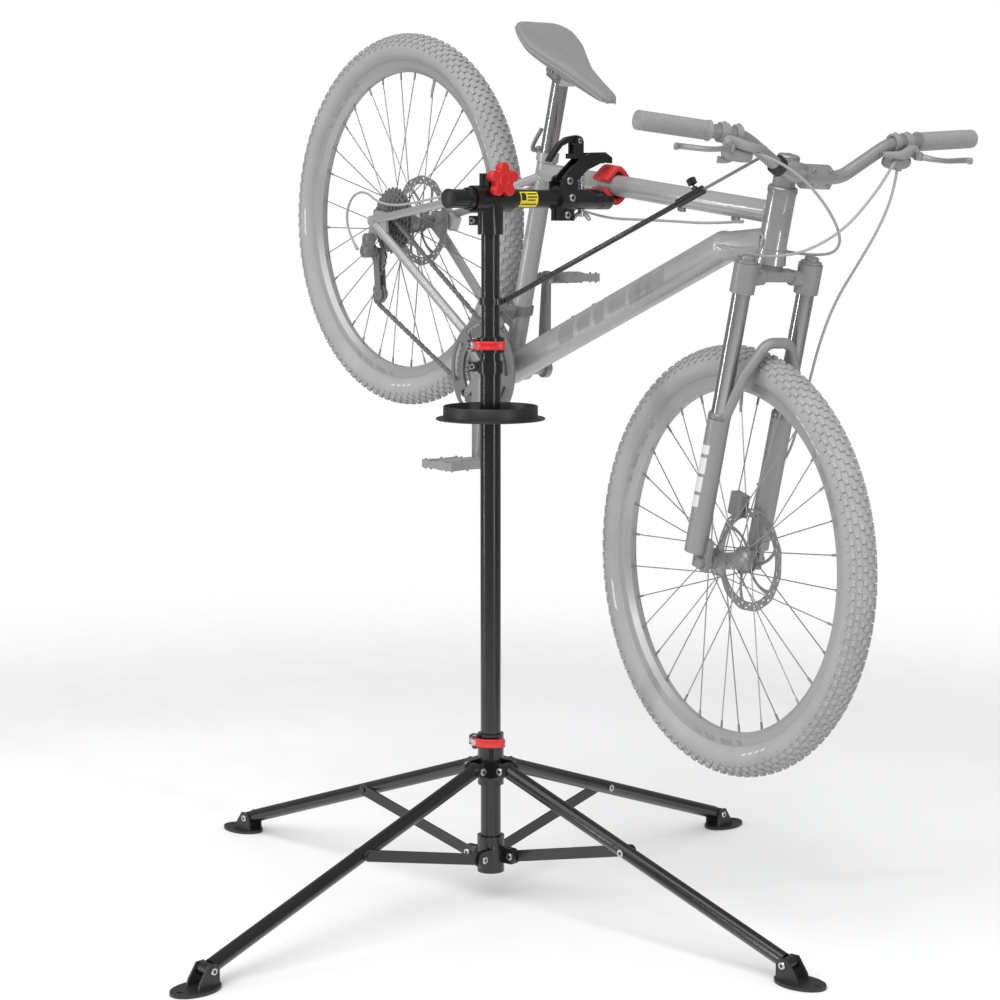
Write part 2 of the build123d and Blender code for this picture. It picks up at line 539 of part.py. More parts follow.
def build_holder_rod():
    z = ROD_COLLAR_Z
    collar = pipe((0, 0, z - 6), (0, 0, z + 6), UPPER_POLE_R + 3.5, UPPER_POLE_R + 0.1)
    swivel = degrees(atan2(ROD_END[1] - ROD_START[1], ROD_END[0] - ROD_START[0]))
    start = Vector(*ROD_START)
    end = Vector(*ROD_END)
    direction = (end - start).normalized()
    side_dir = Vector(-sin(radians(swivel)), cos(radians(swivel)), 0)
    centre = Vector(ROD_START[0], ROD_START[1], z)
    fork = collar
    for side in (-1, 1):
        low = centre + side_dir * (side * 5.1)
        high = centre + side_dir * (side * 8.1)
        fork += rod(low, high, 6)
        bar_start = Vector(14 * cos(radians(swivel)), 14 * sin(radians(swivel)), z) + side_dir * (side * 6.6)
        bar_end = centre + side_dir * (side * 6.6)
        run = bar_end - bar_start
        fork += Plane(origin=bar_start, x_dir=side_dir, z_dir=run) * Box(
            3, 10, run.length, align=(Align.CENTER, Align.CENTER, Align.MIN))
    fork -= rod((0, 0, z - 7), (0, 0, z + 7), UPPER_POLE_R + 0.1)
    pin_a = (centre + side_dir * 10)
    pin_b = (centre - side_dir * 10)
    fork -= rod(pin_a, pin_b, BOLT_R - 0.5)
    pin = rod(pin_a, pin_b, BOLT_R - 0.5)
    add("rod_collar", fork, pin)
    eye = rod((centre + side_dir * 4.3), (centre - side_dir * 4.3), 5.8)
    total = (end - start).length
    tip = start + direction * ROD_OUTER_LENGTH
    bar = rod((centre + direction * 3), (start + direction * (ROD_OUTER_LENGTH - 40)), ROD_R)
    sleeve = rod(start + direction * (ROD_OUTER_LENGTH - ROD_SLEEVE_LENGTH), tip, ROD_SLEEVE_R)
    piece = eye + bar + sleeve
    piece -= rod((start + direction * 40), (tip + direction), INNER_ROD_R + 0.1)
    piece -= rod(pin_a, pin_b, BOLT_R - 0.5 + BORE_GAP)
    up = direction.cross(side_dir)
    if up.Z < 0:
        up = up * -1
    boss_at = tip - direction * ROD_SCREW_BACK
    screw_hole = rod((boss_at + up * 4), (boss_at + up * 20), 1.9)
    boss = rod((boss_at + up * 5), (boss_at + up * 11), 5)
    piece = piece + boss
    piece -= rod((start + direction * 40), (tip + direction), INNER_ROD_R + 0.1)
    add("holder_rod", piece - screw_hole)
    screw = rod((boss_at + up * 4.6), (boss_at + up * 20), 1.85)
    screw += rod((boss_at + up * 15), (boss_at + up * 27), 7.5)
    add("rod_screw", screw)
    inner = rod(start + direction * 160, start + direction * (total - ROD_SHORT_OF_BAR), INNER_ROD_R)
    add("slide_rod", inner)


# ---------------------------------------------------------------- bicycle frame
def build_frame():
    place = bike_place()
    axis = Rot(0, HEAD_ANGLE - 90, 0)
    crown = Pos(CROWN_X, 0, CROWN_Z)
    head = crown * (axis * (Pos(0, 0, HEAD_TUBE_LOW) * Cylinder(
        HEAD_TUBE_R, HEAD_TUBE_HIGH - HEAD_TUBE_LOW, align=(Align.CENTER, Align.CENTER, Align.MIN))))
    flare = crown * (axis * taper((0, 0, HEAD_TUBE_LOW), (0, 0, HEAD_TUBE_LOW + 32), HEAD_TUBE_R + 4, HEAD_TUBE_R))
    bore = crown * (axis * rod((0, 0, -10), (0, 0, 200), STEERER_R + 0.1))
    head_full = head + flare
    add("head_tube", head_full - bore, place=place)
    seat_full = rod(seat_point(0), seat_point(SEAT_TUBE_LENGTH), SEAT_TUBE_R)
    shell_full = rod((BB_X, -BB_HALF, BB_Z), (BB_X, BB_HALF, BB_Z), BB_R)
    seat = seat_full + shell_full
    seat += rod(seat_point(SEAT_TUBE_LENGTH - 16), seat_point(SEAT_TUBE_LENGTH), SEAT_TUBE_R + 3)
    seat -= rod(seat_point(40), seat_point(SEAT_TUBE_LENGTH + 5), SEATPOST_R + 0.3)
    seat -= rod((BB_X, -60, BB_Z), (BB_X, 60, BB_Z), SPINDLE_R + 0.1)
    sx, _, sz = seat_point(SEAT_TUBE_LENGTH - 8)
    quick = rod((sx - 26, -17, sz), (sx - 26, 17, sz), 4.5)
    quick += block((sx - 30, sx - 16), (-8, 8), (sz - 6, sz + 6))
    quick -= rod(seat_point(350), seat_point(SEAT_TUBE_LENGTH + 40), SEAT_TUBE_R + 2.9)
    add("seat_tube", seat + quick, place=place)
    down_full = rod((BB_X, 0, BB_Z), DOWN_TUBE_BEND, DOWN_TUBE_R)
    down_full += rod(DOWN_TUBE_BEND, DOWN_TUBE_END, DOWN_TUBE_R - 2)
    down_full += Pos(*DOWN_TUBE_BEND) * Sphere(DOWN_TUBE_R)
    down_inner = rod((BB_X, 0, BB_Z), DOWN_TUBE_BEND, DOWN_TUBE_R - 2)
    down = down_full - head_full - seat_full - shell_full - bore - down_inner
    down = max(down.solids(), key=lambda solid: solid.volume)
    down = down - rod((BB_X, -60, BB_Z), (BB_X, 60, BB_Z), BB_R)
    down = down - crown * (axis * rod((0, 0, -60), (0, 0, HEAD_TUBE_LOW), 60))
    add("down_tube", down, place=place)
    top_full = rod(TOP_TUBE_START, TOP_TUBE_END, TOP_TUBE_R)
    top = top_full - rod(TOP_TUBE_START, TOP_TUBE_END, TOP_TUBE_R - 2)
    top = top - head_full - seat_full - bore - down_full
    add("top_tube", max(top.solids(), key=lambda solid: solid.volume), place=place)
    sides = []
    for side in (-1, 1):
        chain_stay = rod((8, side * DROPOUT_Y, -4), (418, side * 36, -58), STAY_R)
        seat_stay = rod((6, side * DROPOUT_Y, 6), (308, side * 38, 258), STAY_R - 1)
        seat_stay += rod((308, side * 38, 258), (343, side * 12, 300), STAY_R - 1)
        seat_stay += Pos(308, side * 38, 258) * Sphere(STAY_R - 1)
        dropout = outline([(-16, -14), (40, -20), (48, 2), (26, 34), (-6, 20)],
                          SIDE_PLANE, *sorted((-side * 68.3, -side * DROPOUT_Y)))
        sides.append(chain_stay + seat_stay + dropout)
    stays = sides[0] + sides[1]
    stays += rod((372, -36, -52), (372, 36, -52), 7)
    stays += rod((322, -30, 275), (322, 30, 275), 7)
    stays = stays - seat_full - shell_full - top_full - down_full
    stays -= rod((0, -68.2, 0), (0, 68.2, 0), 30)
    hanger = outline([(-8, -12), (14, -14), (20, -34), (6, -40), (-6, -30)],
                     SIDE_PLANE, 68.3, DROPOUT_Y)
    rear_caliper = block((40, 86), (46, 66), (28, 56)) - rod((0, 30, 0), (0, 90, 0), 30)
    axle = rod((0, -84, 0), (0, 84, 0), AXLE_R)
    axle += rod((0, -84, 0), (0, -75, 0), 10) + rod((0, 75, 0), (0, 84, 0), 10)
    add("rear_triangle", stays + hanger - axle, rear_caliper - stays, axle, place=place)


# ---------------------------------------------------------------- wheels
def wheel(prefix, place, old_half, cassette_side):
    """Tyre, rim, spokes and hub about the wheel's axle, which lies along Y, with the brake disc at +Y."""
    middle = (TYRE_R + RIM_BED_R) / 2
    ring = Plane.YZ * (Pos(0, middle) * (Ellipse(TYRE_HALF, (TYRE_R - RIM_BED_R) / 2)
                                         - Ellipse(TYRE_HALF - 3.5, (TYRE_R - RIM_BED_R) / 2 - 3.5)))
    slit = Plane.YZ * (Pos(0, RIM_BED_R) * Rectangle(2 * RIM_HALF + 0.6, 16))
    tyre = revolve(ring - slit, Axis.Y)
    add(f"{prefix}_tyre", tyre, place=place)
    rim_outline = [(-RIM_HALF, RIM_BED_R + 7), (-RIM_HALF + 2, RIM_BED_R + 7), (-RIM_HALF + 2, RIM_BED_R - 3),
                   (RIM_HALF - 2, RIM_BED_R - 3), (RIM_HALF - 2, RIM_BED_R + 7), (RIM_HALF, RIM_BED_R + 7),
                   (RIM_HALF, RIM_BED_R - 6), (5, RIM_INNER_R), (-5, RIM_INNER_R), (-RIM_HALF, RIM_BED_R - 6)]
    rim = revolve(Plane.YZ * make_face(Polyline(*rim_outline, close=True)), Axis.Y)
    cavity = [(-RIM_HALF + 2, RIM_BED_R - 5.5), (RIM_HALF - 2, RIM_BED_R - 5.5), (4, RIM_INNER_R + 2),
              (-4, RIM_INNER_R + 2)]
    rim -= revolve(Plane.YZ * make_face(Polyline(*cavity, close=True)), Axis.Y)
    add(f"{prefix}_rim", rim, place=place)
    spokes = []
    for index in range(SPOKES):
        side = -1 if index % 2 == 0 else 1
        group = (index // 2) % 2
        rim_angle = 2 * pi * index / SPOKES
        lean = radians(SPOKE_LEAN) * (1 if group else -1)
        flange_angle = rim_angle + lean
        y_hub = side * (HUB_FLANGE_Y + (2.6 if group else -2.6))
        if cassette_side == side:
            y_hub = side * (HUB_FLANGE_Y - 8 + (2.6 if group else -2.6))
        inner = ((HUB_FLANGE_R - 2.5) * cos(flange_angle), y_hub, (HUB_FLANGE_R - 2.5) * sin(flange_angle))
        outer = ((RIM_INNER_R - 0.3) * cos(rim_angle), side * 2.5, (RIM_INNER_R - 0.3) * sin(rim_angle))
        spokes.append(rod(inner, outer, SPOKE_R))
    left_y = HUB_FLANGE_Y
    right_y = -HUB_FLANGE_Y
    if cassette_side == -1:
        right_y = -(HUB_FLANGE_Y - 8)
    hub = rod((0, right_y, 0), (0, left_y, 0), 15)
    for y in (left_y, right_y):
        hub += rod((0, y - 1.5, 0), (0, y + 1.5, 0), HUB_FLANGE_R)
    hub += rod((0, left_y, 0), (0, ROTOR_Y + 1, 0), 18)
    hub += rod((0, -old_half + 0.4, 0), (0, old_half - 0.4, 0), 8)
    rotor = pipe((0, ROTOR_Y - 1, 0), (0, ROTOR_Y + 1, 0), ROTOR_R, ROTOR_R - 14)
    for k in range(6):
        rotor += Rot(0, 60 * k, 0) * block((14, ROTOR_R - 13), (ROTOR_Y - 1, ROTOR_Y + 1), (-3, 3))
    hub += rotor
    hub -= rod((0, -90, 0), (0, 90, 0), AXLE_R + 0.1)
    add(f"{prefix}_hub", hub, [spoke - hub for spoke in spokes], place=place)


def build_wheels():
    wheel("rear", bike_place(), 68, -1)
    wheel("front", steer_place() * Pos(FORK_OFFSET, 0, -FORK_LENGTH), 49.5, 0)


# ---------------------------------------------------------------- fork and cockpit
LEG_X = 26
LOWER_TOP = -250
LOWER_BOTTOM = -FORK_LENGTH + 2


def build_fork():
    place = steer_place()
    steerer = rod((0, 0, -6), (0, 0, BAR_Z + 14), STEERER_R)
    race = rod((0, 0, 2), (0, 0, HEAD_TUBE_LOW - 0.4), HEAD_TUBE_R)
    crown = block((4, 36), (-40, 40), (-14, 2)) + rod((0, 0, -14), (0, 0, 2), 21)
    stanchions = []
    for side in (-1, 1):
        crown += rod((LEG_X, side * LEG_SPACING, -34), (LEG_X, side * LEG_SPACING, 16), LOWER_LEG_R + 1.5)
        crown += rod((LEG_X, side * 30, -8), (LEG_X, side * LEG_SPACING, -12), 13)
        stanchions.append(rod((LEG_X, side * LEG_SPACING, -330), (LEG_X, side * LEG_SPACING, 16), STANCHION_R))
    crown -= stanchions
    crown -= rod((0, 0, -20), (0, 0, 20), STEERER_R)
    spacers = pipe((0, 0, HEAD_TUBE_HIGH + 0.4), (0, 0, BAR_Z - 20), 19, STEERER_R)
    add("fork_crown", crown, stanchions, steerer - stanchions, race - steerer, spacers, place=place)
    lowers = []
    slider_r = STANCHION_R + 0.1
    for side in (-1, 1):
        y = side * LEG_SPACING
        drop_y = side * 55
        bore = rod((LEG_X, y, LOWER_BOTTOM + 60), (LEG_X, y, 0), slider_r)
        leg = rod((LEG_X, y, LOWER_BOTTOM + 14), (LEG_X, y, LOWER_TOP), LOWER_LEG_R)
        leg += rod((LEG_X, y, LOWER_TOP), (LEG_X, y, LOWER_TOP + 3), LOWER_LEG_R - 2)
        drop = block((LEG_X - 12, FORK_OFFSET + 14), (drop_y - 4.5, drop_y + 4.5),
                     (-FORK_LENGTH - 14, LOWER_BOTTOM + 40))
        drop -= rod((FORK_OFFSET, side * 50, -FORK_LENGTH), (FORK_OFFSET, side * 60, -FORK_LENGTH), AXLE_R)
        lowers.append((leg - bore) + (drop - bore))
    points = [(LEG_X + 8, -LEG_SPACING, LOWER_TOP - 12), (LEG_X + 30, -52, -165), (LEG_X + 36, -24, -110),
              (LEG_X + 36, 24, -110), (LEG_X + 30, 52, -165), (LEG_X + 8, LEG_SPACING, LOWER_TOP - 12)]
    arch = tube_along(points, 9, [20, 24, 24, 20])
    for side in (-1, 1):
        y = side * LEG_SPACING
        arch = arch - rod((LEG_X, y, LOWER_BOTTOM + 70), (LEG_X, y, 0), slider_r)
    full = lowers[0] + lowers[1] + arch
    caliper = block((-28, 4), (LEG_SPACING - 36, LEG_SPACING - 18), (-FORK_LENGTH + 62, -FORK_LENGTH + 102))
    caliper -= rod((FORK_OFFSET, ROTOR_Y - 2.2, -FORK_LENGTH), (FORK_OFFSET, ROTOR_Y + 2.2, -FORK_LENGTH),
                   ROTOR_R + 2)
    axle = rod((FORK_OFFSET, -66, -FORK_LENGTH), (FORK_OFFSET, 66, -FORK_LENGTH), AXLE_R)
    axle += rod((FORK_OFFSET, -68, -FORK_LENGTH), (FORK_OFFSET, -59.6, -FORK_LENGTH), 9)
    axle += rod((FORK_OFFSET, 59.6, -FORK_LENGTH), (FORK_OFFSET, 68, -FORK_LENGTH), 9)
    full -= axle
    add("fork_lowers", full, caliper - full, axle, place=place)


def bar_points():
    right = [(STEM_REACH - BAR_SWEEP, -BAR_HALF, BAR_Z + BAR_RISE),
             (STEM_REACH - 10, -BAR_BEND, BAR_Z + BAR_RISE - 12),
             (STEM_REACH, -BAR_FLAT, BAR_Z)]
    left = [(x, -y, z) for x, y, z in reversed(right)]
    return right + left


GRIP_DIR = Vector(-BAR_SWEEP + 10, BAR_HALF - BAR_BEND, 12).normalized()


def on_bar(side, from_end):
    """Point a distance in from the end of the bar."""
    x = STEM_REACH - BAR_SWEEP - GRIP_DIR.X * from_end
    y = BAR_HALF - GRIP_DIR.Y * from_end
    z = BAR_Z + BAR_RISE - GRIP_DIR.Z * from_end
    return x, side * y, z


def build_cockpit():
    place = steer_place()
    points = bar_points()
    bar = tube_along(points, BAR_R, [90, 60, 60, 90])
    add("handlebar", bar, place=place)
    stem = rod((0, 0, BAR_Z - 20), (0, 0, BAR_Z + 16), 19)
    stem += rod((8, 0, BAR_Z - 2), (STEM_REACH - 8, 0, BAR_Z), 15)
    stem += rod((STEM_REACH, -24, BAR_Z), (STEM_REACH, 24, BAR_Z), CLAMP_R + 4)
    stem -= rod((STEM_REACH, -40, BAR_Z), (STEM_REACH, 40, BAR_Z), BAR_R)
    stem -= rod((0, 0, BAR_Z - 30), (0, 0, BAR_Z + 14), STEERER_R)
    add("stem", stem, place=place)
    pieces = []
    for side, name in ((-1, "brake_lever_right"), (1, "brake_lever_left")):
        grip = pipe(on_bar(side, GRIP_LENGTH), on_bar(side, 0), GRIP_R, BAR_R)
        grip += rod(on_bar(side, 0), on_bar(side, -3), GRIP_R)
        clamp = pipe(on_bar(side, GRIP_LENGTH + 46), on_bar(side, GRIP_LENGTH + 6), BAR_R + 5, BAR_R)
        cx, cy, cz = on_bar(side, GRIP_LENGTH + 30)
        body = block((cx + 2, cx + 24.5), (cy - 23, cy + 23), (cz - 26, cz - 5))
        bx, by, bz = on_bar(side, GRIP_LENGTH + 22)
        hx, hy, hz = bx + 34, by, bz - 16
        bend = (hx + 10, hy + side * 50, hz - 3)
        blade = rod((hx, hy, hz), bend, LEVER_R) + rod(bend, (hx + 2, hy + side * 108, hz - 2), LEVER_R)
        blade += Pos(*bend) * Sphere(LEVER_R)
        blade += rod((hx, hy, hz - 6), (hx, hy, hz + 6), 7)
        blade -= rod((hx, hy, hz - 8), (hx, hy, hz + 8), BOLT_R + BORE_GAP)
        add(name, blade, place=place)
        room = rod((hx, hy, hz - 6.4), (hx, hy, hz + 6.4), 13)
        ears = block((hx - 12, hx + 6), (hy - 6, hy + 6), (hz + 6.8, hz + 10))
        ears += block((hx - 12, hx + 6), (hy - 6, hy + 6), (hz - 10, hz - 6.8))
        pin = rod((hx, hy, hz - 10), (hx, hy, hz + 10), BOLT_R)
        body = body - rod(on_bar(side, 250), on_bar(side, 0), BAR_R)
        pieces += [grip, clamp + body - room - bar, ears - pin, pin]
    strap = pipe((STEM_REACH - 4, -66, BAR_Z + 8), (STEM_REACH - 5, -82, BAR_Z + 18), 15, BAR_R + 1)
    add("grips_and_controls", pieces, strap - bar, place=place)


# ---------------------------------------------------------------- drivetrain
def tangent_points(first, second):
    """Straight run of a chain between two circles, each given as centre, radius and sense.

    Sense is +1 where the chain goes round counter-clockwise in (x forward, z up), -1 clockwise.
    """
    (x1, z1), r1, s1 = first
    (x2, z2), r2, s2 = second
    dx = x2 - x1
    dz = z2 - z1
    distance = hypot(dx, dz)
    base = atan2(dz, dx)
    offset = acos((s1 * r1 - s2 * r2) / distance)
    angle = base - offset
    one = (x1 + s1 * r1 * cos(angle), z1 + s1 * r1 * sin(angle))
    two = (x2 + s2 * r2 * cos(angle), z2 + s2 * r2 * sin(angle))
    return one, two


def chain_loop():
    """Chain pitch line as points, round chainring, cog and the two jockey pulleys."""
    circles = [((BB_X, BB_Z), RING_PITCH_R, 1), ((0, 0), COG_PITCH_R, 1),
               (UPPER_PULLEY, PULLEY_PITCH_R, -1), (LOWER_PULLEY, PULLEY_PITCH_R, 1)]
    runs = [tangent_points(circles[k], circles[(k + 1) % 4]) for k in range(4)]
    points = []
    for k in range(4):
        one, two = runs[k]
        points.append(one)
        points.append(two)
        (cx, cz), radius, sense = circles[(k + 1) % 4]
        start = atan2(two[1] - cz, two[0] - cx)
        leave = runs[(k + 1) % 4][0]
        end = atan2(leave[1] - cz, leave[0] - cx)
        sweep_angle = (end - start) * sense % (2 * pi)
        steps = max(2, int(sweep_angle / radians(12)))
        for step in range(1, steps):
            angle = start + sense * sweep_angle * step / steps
            points.append((cx + radius * cos(angle), cz + radius * sin(angle)))
    return points


def build_drivetrain():
    place = bike_place()
    loop = chain_loop()
    plane = Plane(origin=(0, CHAIN_Y, 0), x_dir=(1, 0, 0), z_dir=(0, -1, 0))
    face = make_face(Polyline(*loop, close=True))
    outer = offset(face, amount=CHAIN_HALF_HEIGHT, kind=Kind.INTERSECTION)
    inner = offset(face, amount=-CHAIN_HALF_HEIGHT, kind=Kind.INTERSECTION)
    band = extrude(outer - inner, amount=CHAIN_HALF_WIDTH, both=True)
    add("chain", plane * band, place=place)
    cog_r = COG_PITCH_R - CHAIN_HALF_HEIGHT - CHAIN_GAP
    cassette = rod((0, CHAIN_Y - 1, 0), (0, CHAIN_Y + 1, 0), cog_r)
    y = CHAIN_Y + 4.4
    for count in CASSETTE_TEETH:
        cassette += rod((0, y - 0.9, 0), (0, y + 0.9, 0), count * LINK_PITCH / (2 * pi) + 2)
        y += CASSETTE_STEP
    cassette += rod((0, CHAIN_Y - 5, 0), (0, y - 4.3, 0), CARRIER_R)
    cassette -= rod((0, -90, 0), (0, 0, 0), 8.3)
    add("cassette", cassette, place=place)
    crank_dir = (cos(radians(CRANK_ANGLE)), sin(radians(CRANK_ANGLE)))
    centre = (BB_X, BB_Z)
    right = (centre[0] + CRANK_LENGTH * crank_dir[0], centre[1] + CRANK_LENGTH * crank_dir[1])
    left = (centre[0] - CRANK_LENGTH * crank_dir[0], centre[1] - CRANK_LENGTH * crank_dir[1])
    ring_r = RING_PITCH_R - CHAIN_HALF_HEIGHT - CHAIN_GAP
    cranks = rod((BB_X, -86, BB_Z), (BB_X, 84, BB_Z), SPINDLE_R)
    cranks += pipe((BB_X, CHAIN_Y - 1, BB_Z), (BB_X, CHAIN_Y + 1, BB_Z), ring_r, 40)
    cranks += pipe((BB_X, -50.5, BB_Z), (BB_X, -48.7, BB_Z), INNER_RING_R, 30)
    cranks += pipe((BB_X, -65, BB_Z), (BB_X, -63.2, BB_Z), OUTER_RING_R, 56)
    cranks += pipe((BB_X, -70, BB_Z), (BB_X, -67.4, BB_Z), GUARD_R, 60)
    for k in range(4):
        spin = Pos(BB_X, 0, BB_Z) * Rot(0, 45 + 90 * k - CRANK_ANGLE, 0)
        cranks += spin * block((8, 64), (-74, -66), (-8, 8))
        cranks += spin * rod((52, -74, 0), (52, CHAIN_Y + 1, 0), 6)
        cranks += spin * rod((40, CHAIN_Y, 0), (40, -48.7, 0), 5)
        cranks += spin * block((35, 58), (CHAIN_Y - 1, CHAIN_Y + 1), (-5, 5))
    for side, tip in ((-1, right), (1, left)):
        y_low, y_high = sorted((side * CRANK_INNER_Y, side * CRANK_OUTER_Y))
        cranks += rod((BB_X, y_low, BB_Z), (BB_X, y_high, BB_Z), CRANK_BOSS_R)
        cranks += rod((tip[0], y_low, tip[1]), (tip[0], y_high, tip[1]), CRANK_EYE_R)
        nx = -(tip[1] - BB_Z) / CRANK_LENGTH
        nz = (tip[0] - BB_X) / CRANK_LENGTH
        web = [(BB_X + 16 * nx, BB_Z + 16 * nz), (tip[0] + 11 * nx, tip[1] + 11 * nz),
               (tip[0] - 11 * nx, tip[1] - 11 * nz), (BB_X - 16 * nx, BB_Z - 16 * nz)]
        cranks += outline(web, SIDE_PLANE, -y_high, -y_low)
    for side, tip in ((-1, right), (1, left)):
        hole_r = PEDAL_SPINDLE_R + BORE_GAP
        cranks -= rod((tip[0], side * 70, tip[1]), (tip[0], side * 92, tip[1]), hole_r)
    add("crankset", cranks, place=place)
    for name, side, tip in (("pedal_right", -1, right), ("pedal_left", 1, left)):
        level = Pos(tip[0], 0, tip[1]) * Rot(0, -NOSE_DOWN, 0)
        low, high = sorted((side * abs(PEDAL_INNER), side * abs(PEDAL_OUTER)))
        body = block((-PEDAL_LENGTH / 2, PEDAL_LENGTH / 2), (low, high), (-PEDAL_HEIGHT / 2, PEDAL_HEIGHT / 2))
        for sign in (-1, 1):
            xa, xb = sorted((sign * 14, sign * (PEDAL_LENGTH / 2 - 10)))
            body -= block((xa, xb), (low + 12, high - 12), (-PEDAL_HEIGHT, PEDAL_HEIGHT))
        body += rod((0, side * 74.5, 0), (0, side * 92, 0), PEDAL_SPINDLE_R)
        body += rod((0, side * 86.6, 0), (0, side * 93, 0), 9)
        add(name, level * body, place=place)
    pulleys = []
    for px, pz in (UPPER_PULLEY, LOWER_PULLEY):
        wheel_r = PULLEY_PITCH_R - CHAIN_HALF_HEIGHT - CHAIN_GAP
        pulleys.append(rod((px, CHAIN_Y - 5.5, pz), (px, CHAIN_Y + 5.5, pz), 4))
        pulleys.append(pipe((px, CHAIN_Y - 2.5, pz), (px, CHAIN_Y + 2.5, pz), wheel_r, 4))
    run = Vector(LOWER_PULLEY[0] - UPPER_PULLEY[0], 0, LOWER_PULLEY[1] - UPPER_PULLEY[1])
    along = run.normalized()
    normal = Vector(along.Z, 0, -along.X)
    plates = []
    for low, high in ((CHAIN_Y - 8, CHAIN_Y - 5.5), (CHAIN_Y + 5.5, CHAIN_Y + 7.5)):
        above = Vector(UPPER_PULLEY[0], 0, UPPER_PULLEY[1])
        below = Vector(LOWER_PULLEY[0], 0, LOWER_PULLEY[1])
        corners = [above + normal * 9, above - normal * 9, below - normal * 9, below + normal * 9]
        plate = outline([(corner.X, corner.Z) for corner in corners], SIDE_PLANE, -high, -low)
        for px, pz in (UPPER_PULLEY, LOWER_PULLEY):
            plate += rod((px, low, pz), (px, high, pz), 13)
        plates.append(plate)
    knuckle = rod((14, -92, -34), (14, -75, -34), 12) + rod((20, -92, -58), (20, -66, -58), 13)
    knuckle += outline([(2, -34), (26, -34), (33, -58), (7, -58)], SIDE_PLANE, 77, 90)
    knuckle -= plates[0]
    band_low = seat_point(112)
    band_high = seat_point(128)
    mech = pipe(band_low, band_high, SEAT_TUBE_R + 4, SEAT_TUBE_R)
    mx, _, mz = seat_point(118)
    bracket = block((mx - 8, mx + 10), (-46, -20), (mz - 12, mz + 6))
    mech += bracket - rod(seat_point(90), seat_point(150), SEAT_TUBE_R)
    guide = [(BB_X - 50, BB_Z + 104), (BB_X + 12, BB_Z + 104), (BB_X + 12, BB_Z + 118), (BB_X - 50, BB_Z + 122)]
    for low, high in ((-52.5, -50.5), (-73.6, -71.8)):
        mech += outline(guide, SIDE_PLANE, -high, -low)
    mech += block((mx - 8, mx + 8), (-72, -44), (BB_Z + 112, BB_Z + 118))
    add("derailleurs", knuckle, plates, pulleys, mech, place=place)


HEAD_LOOP_LEFT = [(81, 158, 212), (112, 124, 200), (136, 76, 156), (140, 26, 100), (120, -22, 60), (82, -46, 41),
                  (40, -55, 31), (-6, -53, 24), (-50, -47, 18), (-90, -42, 16)]
HEAD_LOOP_RIGHT = [(81, -158, 212), (106, -120, 206), (132, -68, 180), (142, -12, 132), (129, 34, 84), (94, 56, 52),
                   (48, 60, 36), (2, 54, 27), (-46, 45, 22), (-90, 37, 17)]
BRAKE_HOSE = [(82, 160, 205), (108, 142, 168), (120, 118, 108), (104, 100, 38), (72, 94, -34), (54, 93, -106),
              (48, 92, -178), (43, 91, -250), (34, 90, -314), (14, 78, -362), (-8, 62, -386)]
GEAR_CABLE = [(868, -34, 520), (828, -22, 494), (762, -12, 453), (694, -9, 416), (626, -10, 378), (556, -12, 338),
              (488, -14, 312), (424, -22, 296), (368, -40, 284), (308, -56, 262), (248, -64, 222), (190, -72, 172),
              (130, -80, 122), (74, -88, 78), (24, -96, 54), (-28, -98, 52), (-64, -96, 20), (-68, -94, -24),
              (-40, -92, -56), (0, -92, -66)]


def build_cables():
    """Housings held by their clips and stops, as straight runs joined by tangent arcs."""
    pieces = []
    for label, points, place in (("head_loop_left", HEAD_LOOP_LEFT, steer_place()),
                                 ("head_loop_right", HEAD_LOOP_RIGHT, steer_place()),
                                 ("brake_hose", BRAKE_HOSE, steer_place()),
                                 ("gear_cable", GEAR_CABLE, bike_place())):
        radii = corner_radii(points)
        tube = tube_along(points, CABLE_R, radii)
        length = tube.volume / (pi * CABLE_R ** 2)
        print(label, f"length {length:.0f} mm, radii", [round(radius) for radius in radii])
        tube = place * tube
        for name in ("grips_and_controls", "fork_lowers", "down_tube", "derailleurs"):
            for solid in NODES[name]:
                tube -= solid
        pieces.append(max(tube.solids(), key=lambda piece: piece.volume))
    add("cables", pieces)


def build_seat():
    place = bike_place()
    bottom = SEATPOST_TOP - SEATPOST_LENGTH
    post = rod(seat_point(bottom), seat_point(SEATPOST_TOP), SEATPOST_R)
    head_at = seat_point(SEATPOST_TOP)
    post += Pos(*head_at) * Box(44, 36, 16)
    add("seatpost", post, place=place)
    top = head_at[2] + 52
    nose = head_at[0] + 150
    back = nose - SADDLE_LENGTH
    sections = []
    for share, half, high in ((0.0, 46, 22), (0.12, 64, 30), (0.3, SADDLE_HALF, 32), (0.5, 42, 30),
                              (0.75, 24, 28), (1.0, 16, 20)):
        centre = (back + SADDLE_LENGTH * share, 0, top - high / 2 + 8 * (1 - share))
        section_plane = Plane(origin=centre, x_dir=(0, 1, 0), z_dir=(1, 0, 0))
        sections.append(section_plane * Ellipse(half, high / 2))
    shell = loft(sections, ruled=False)
    rails = []
    for side in (-1, 1):
        points = [(back + 40, side * 34, top - 22), (head_at[0] - 40, side * 22, head_at[2] + 14),
                  (head_at[0] + 40, side * 22, head_at[2] + 14), (nose - 34, side * 8, top - 22)]
        rails.append(tube_along(points, 3.5, [12, 12]) - shell)
    add("saddle", shell, [max(r.solids(), key=lambda s: s.volume) for r in rails], place=place)


build_pole()
build_legs()
build_head()
build_clamp_jaws()
build_holder_rod()
build_frame()
build_wheels()
build_fork()
build_cockpit()
build_drivetrain()
build_cables()
build_seat()

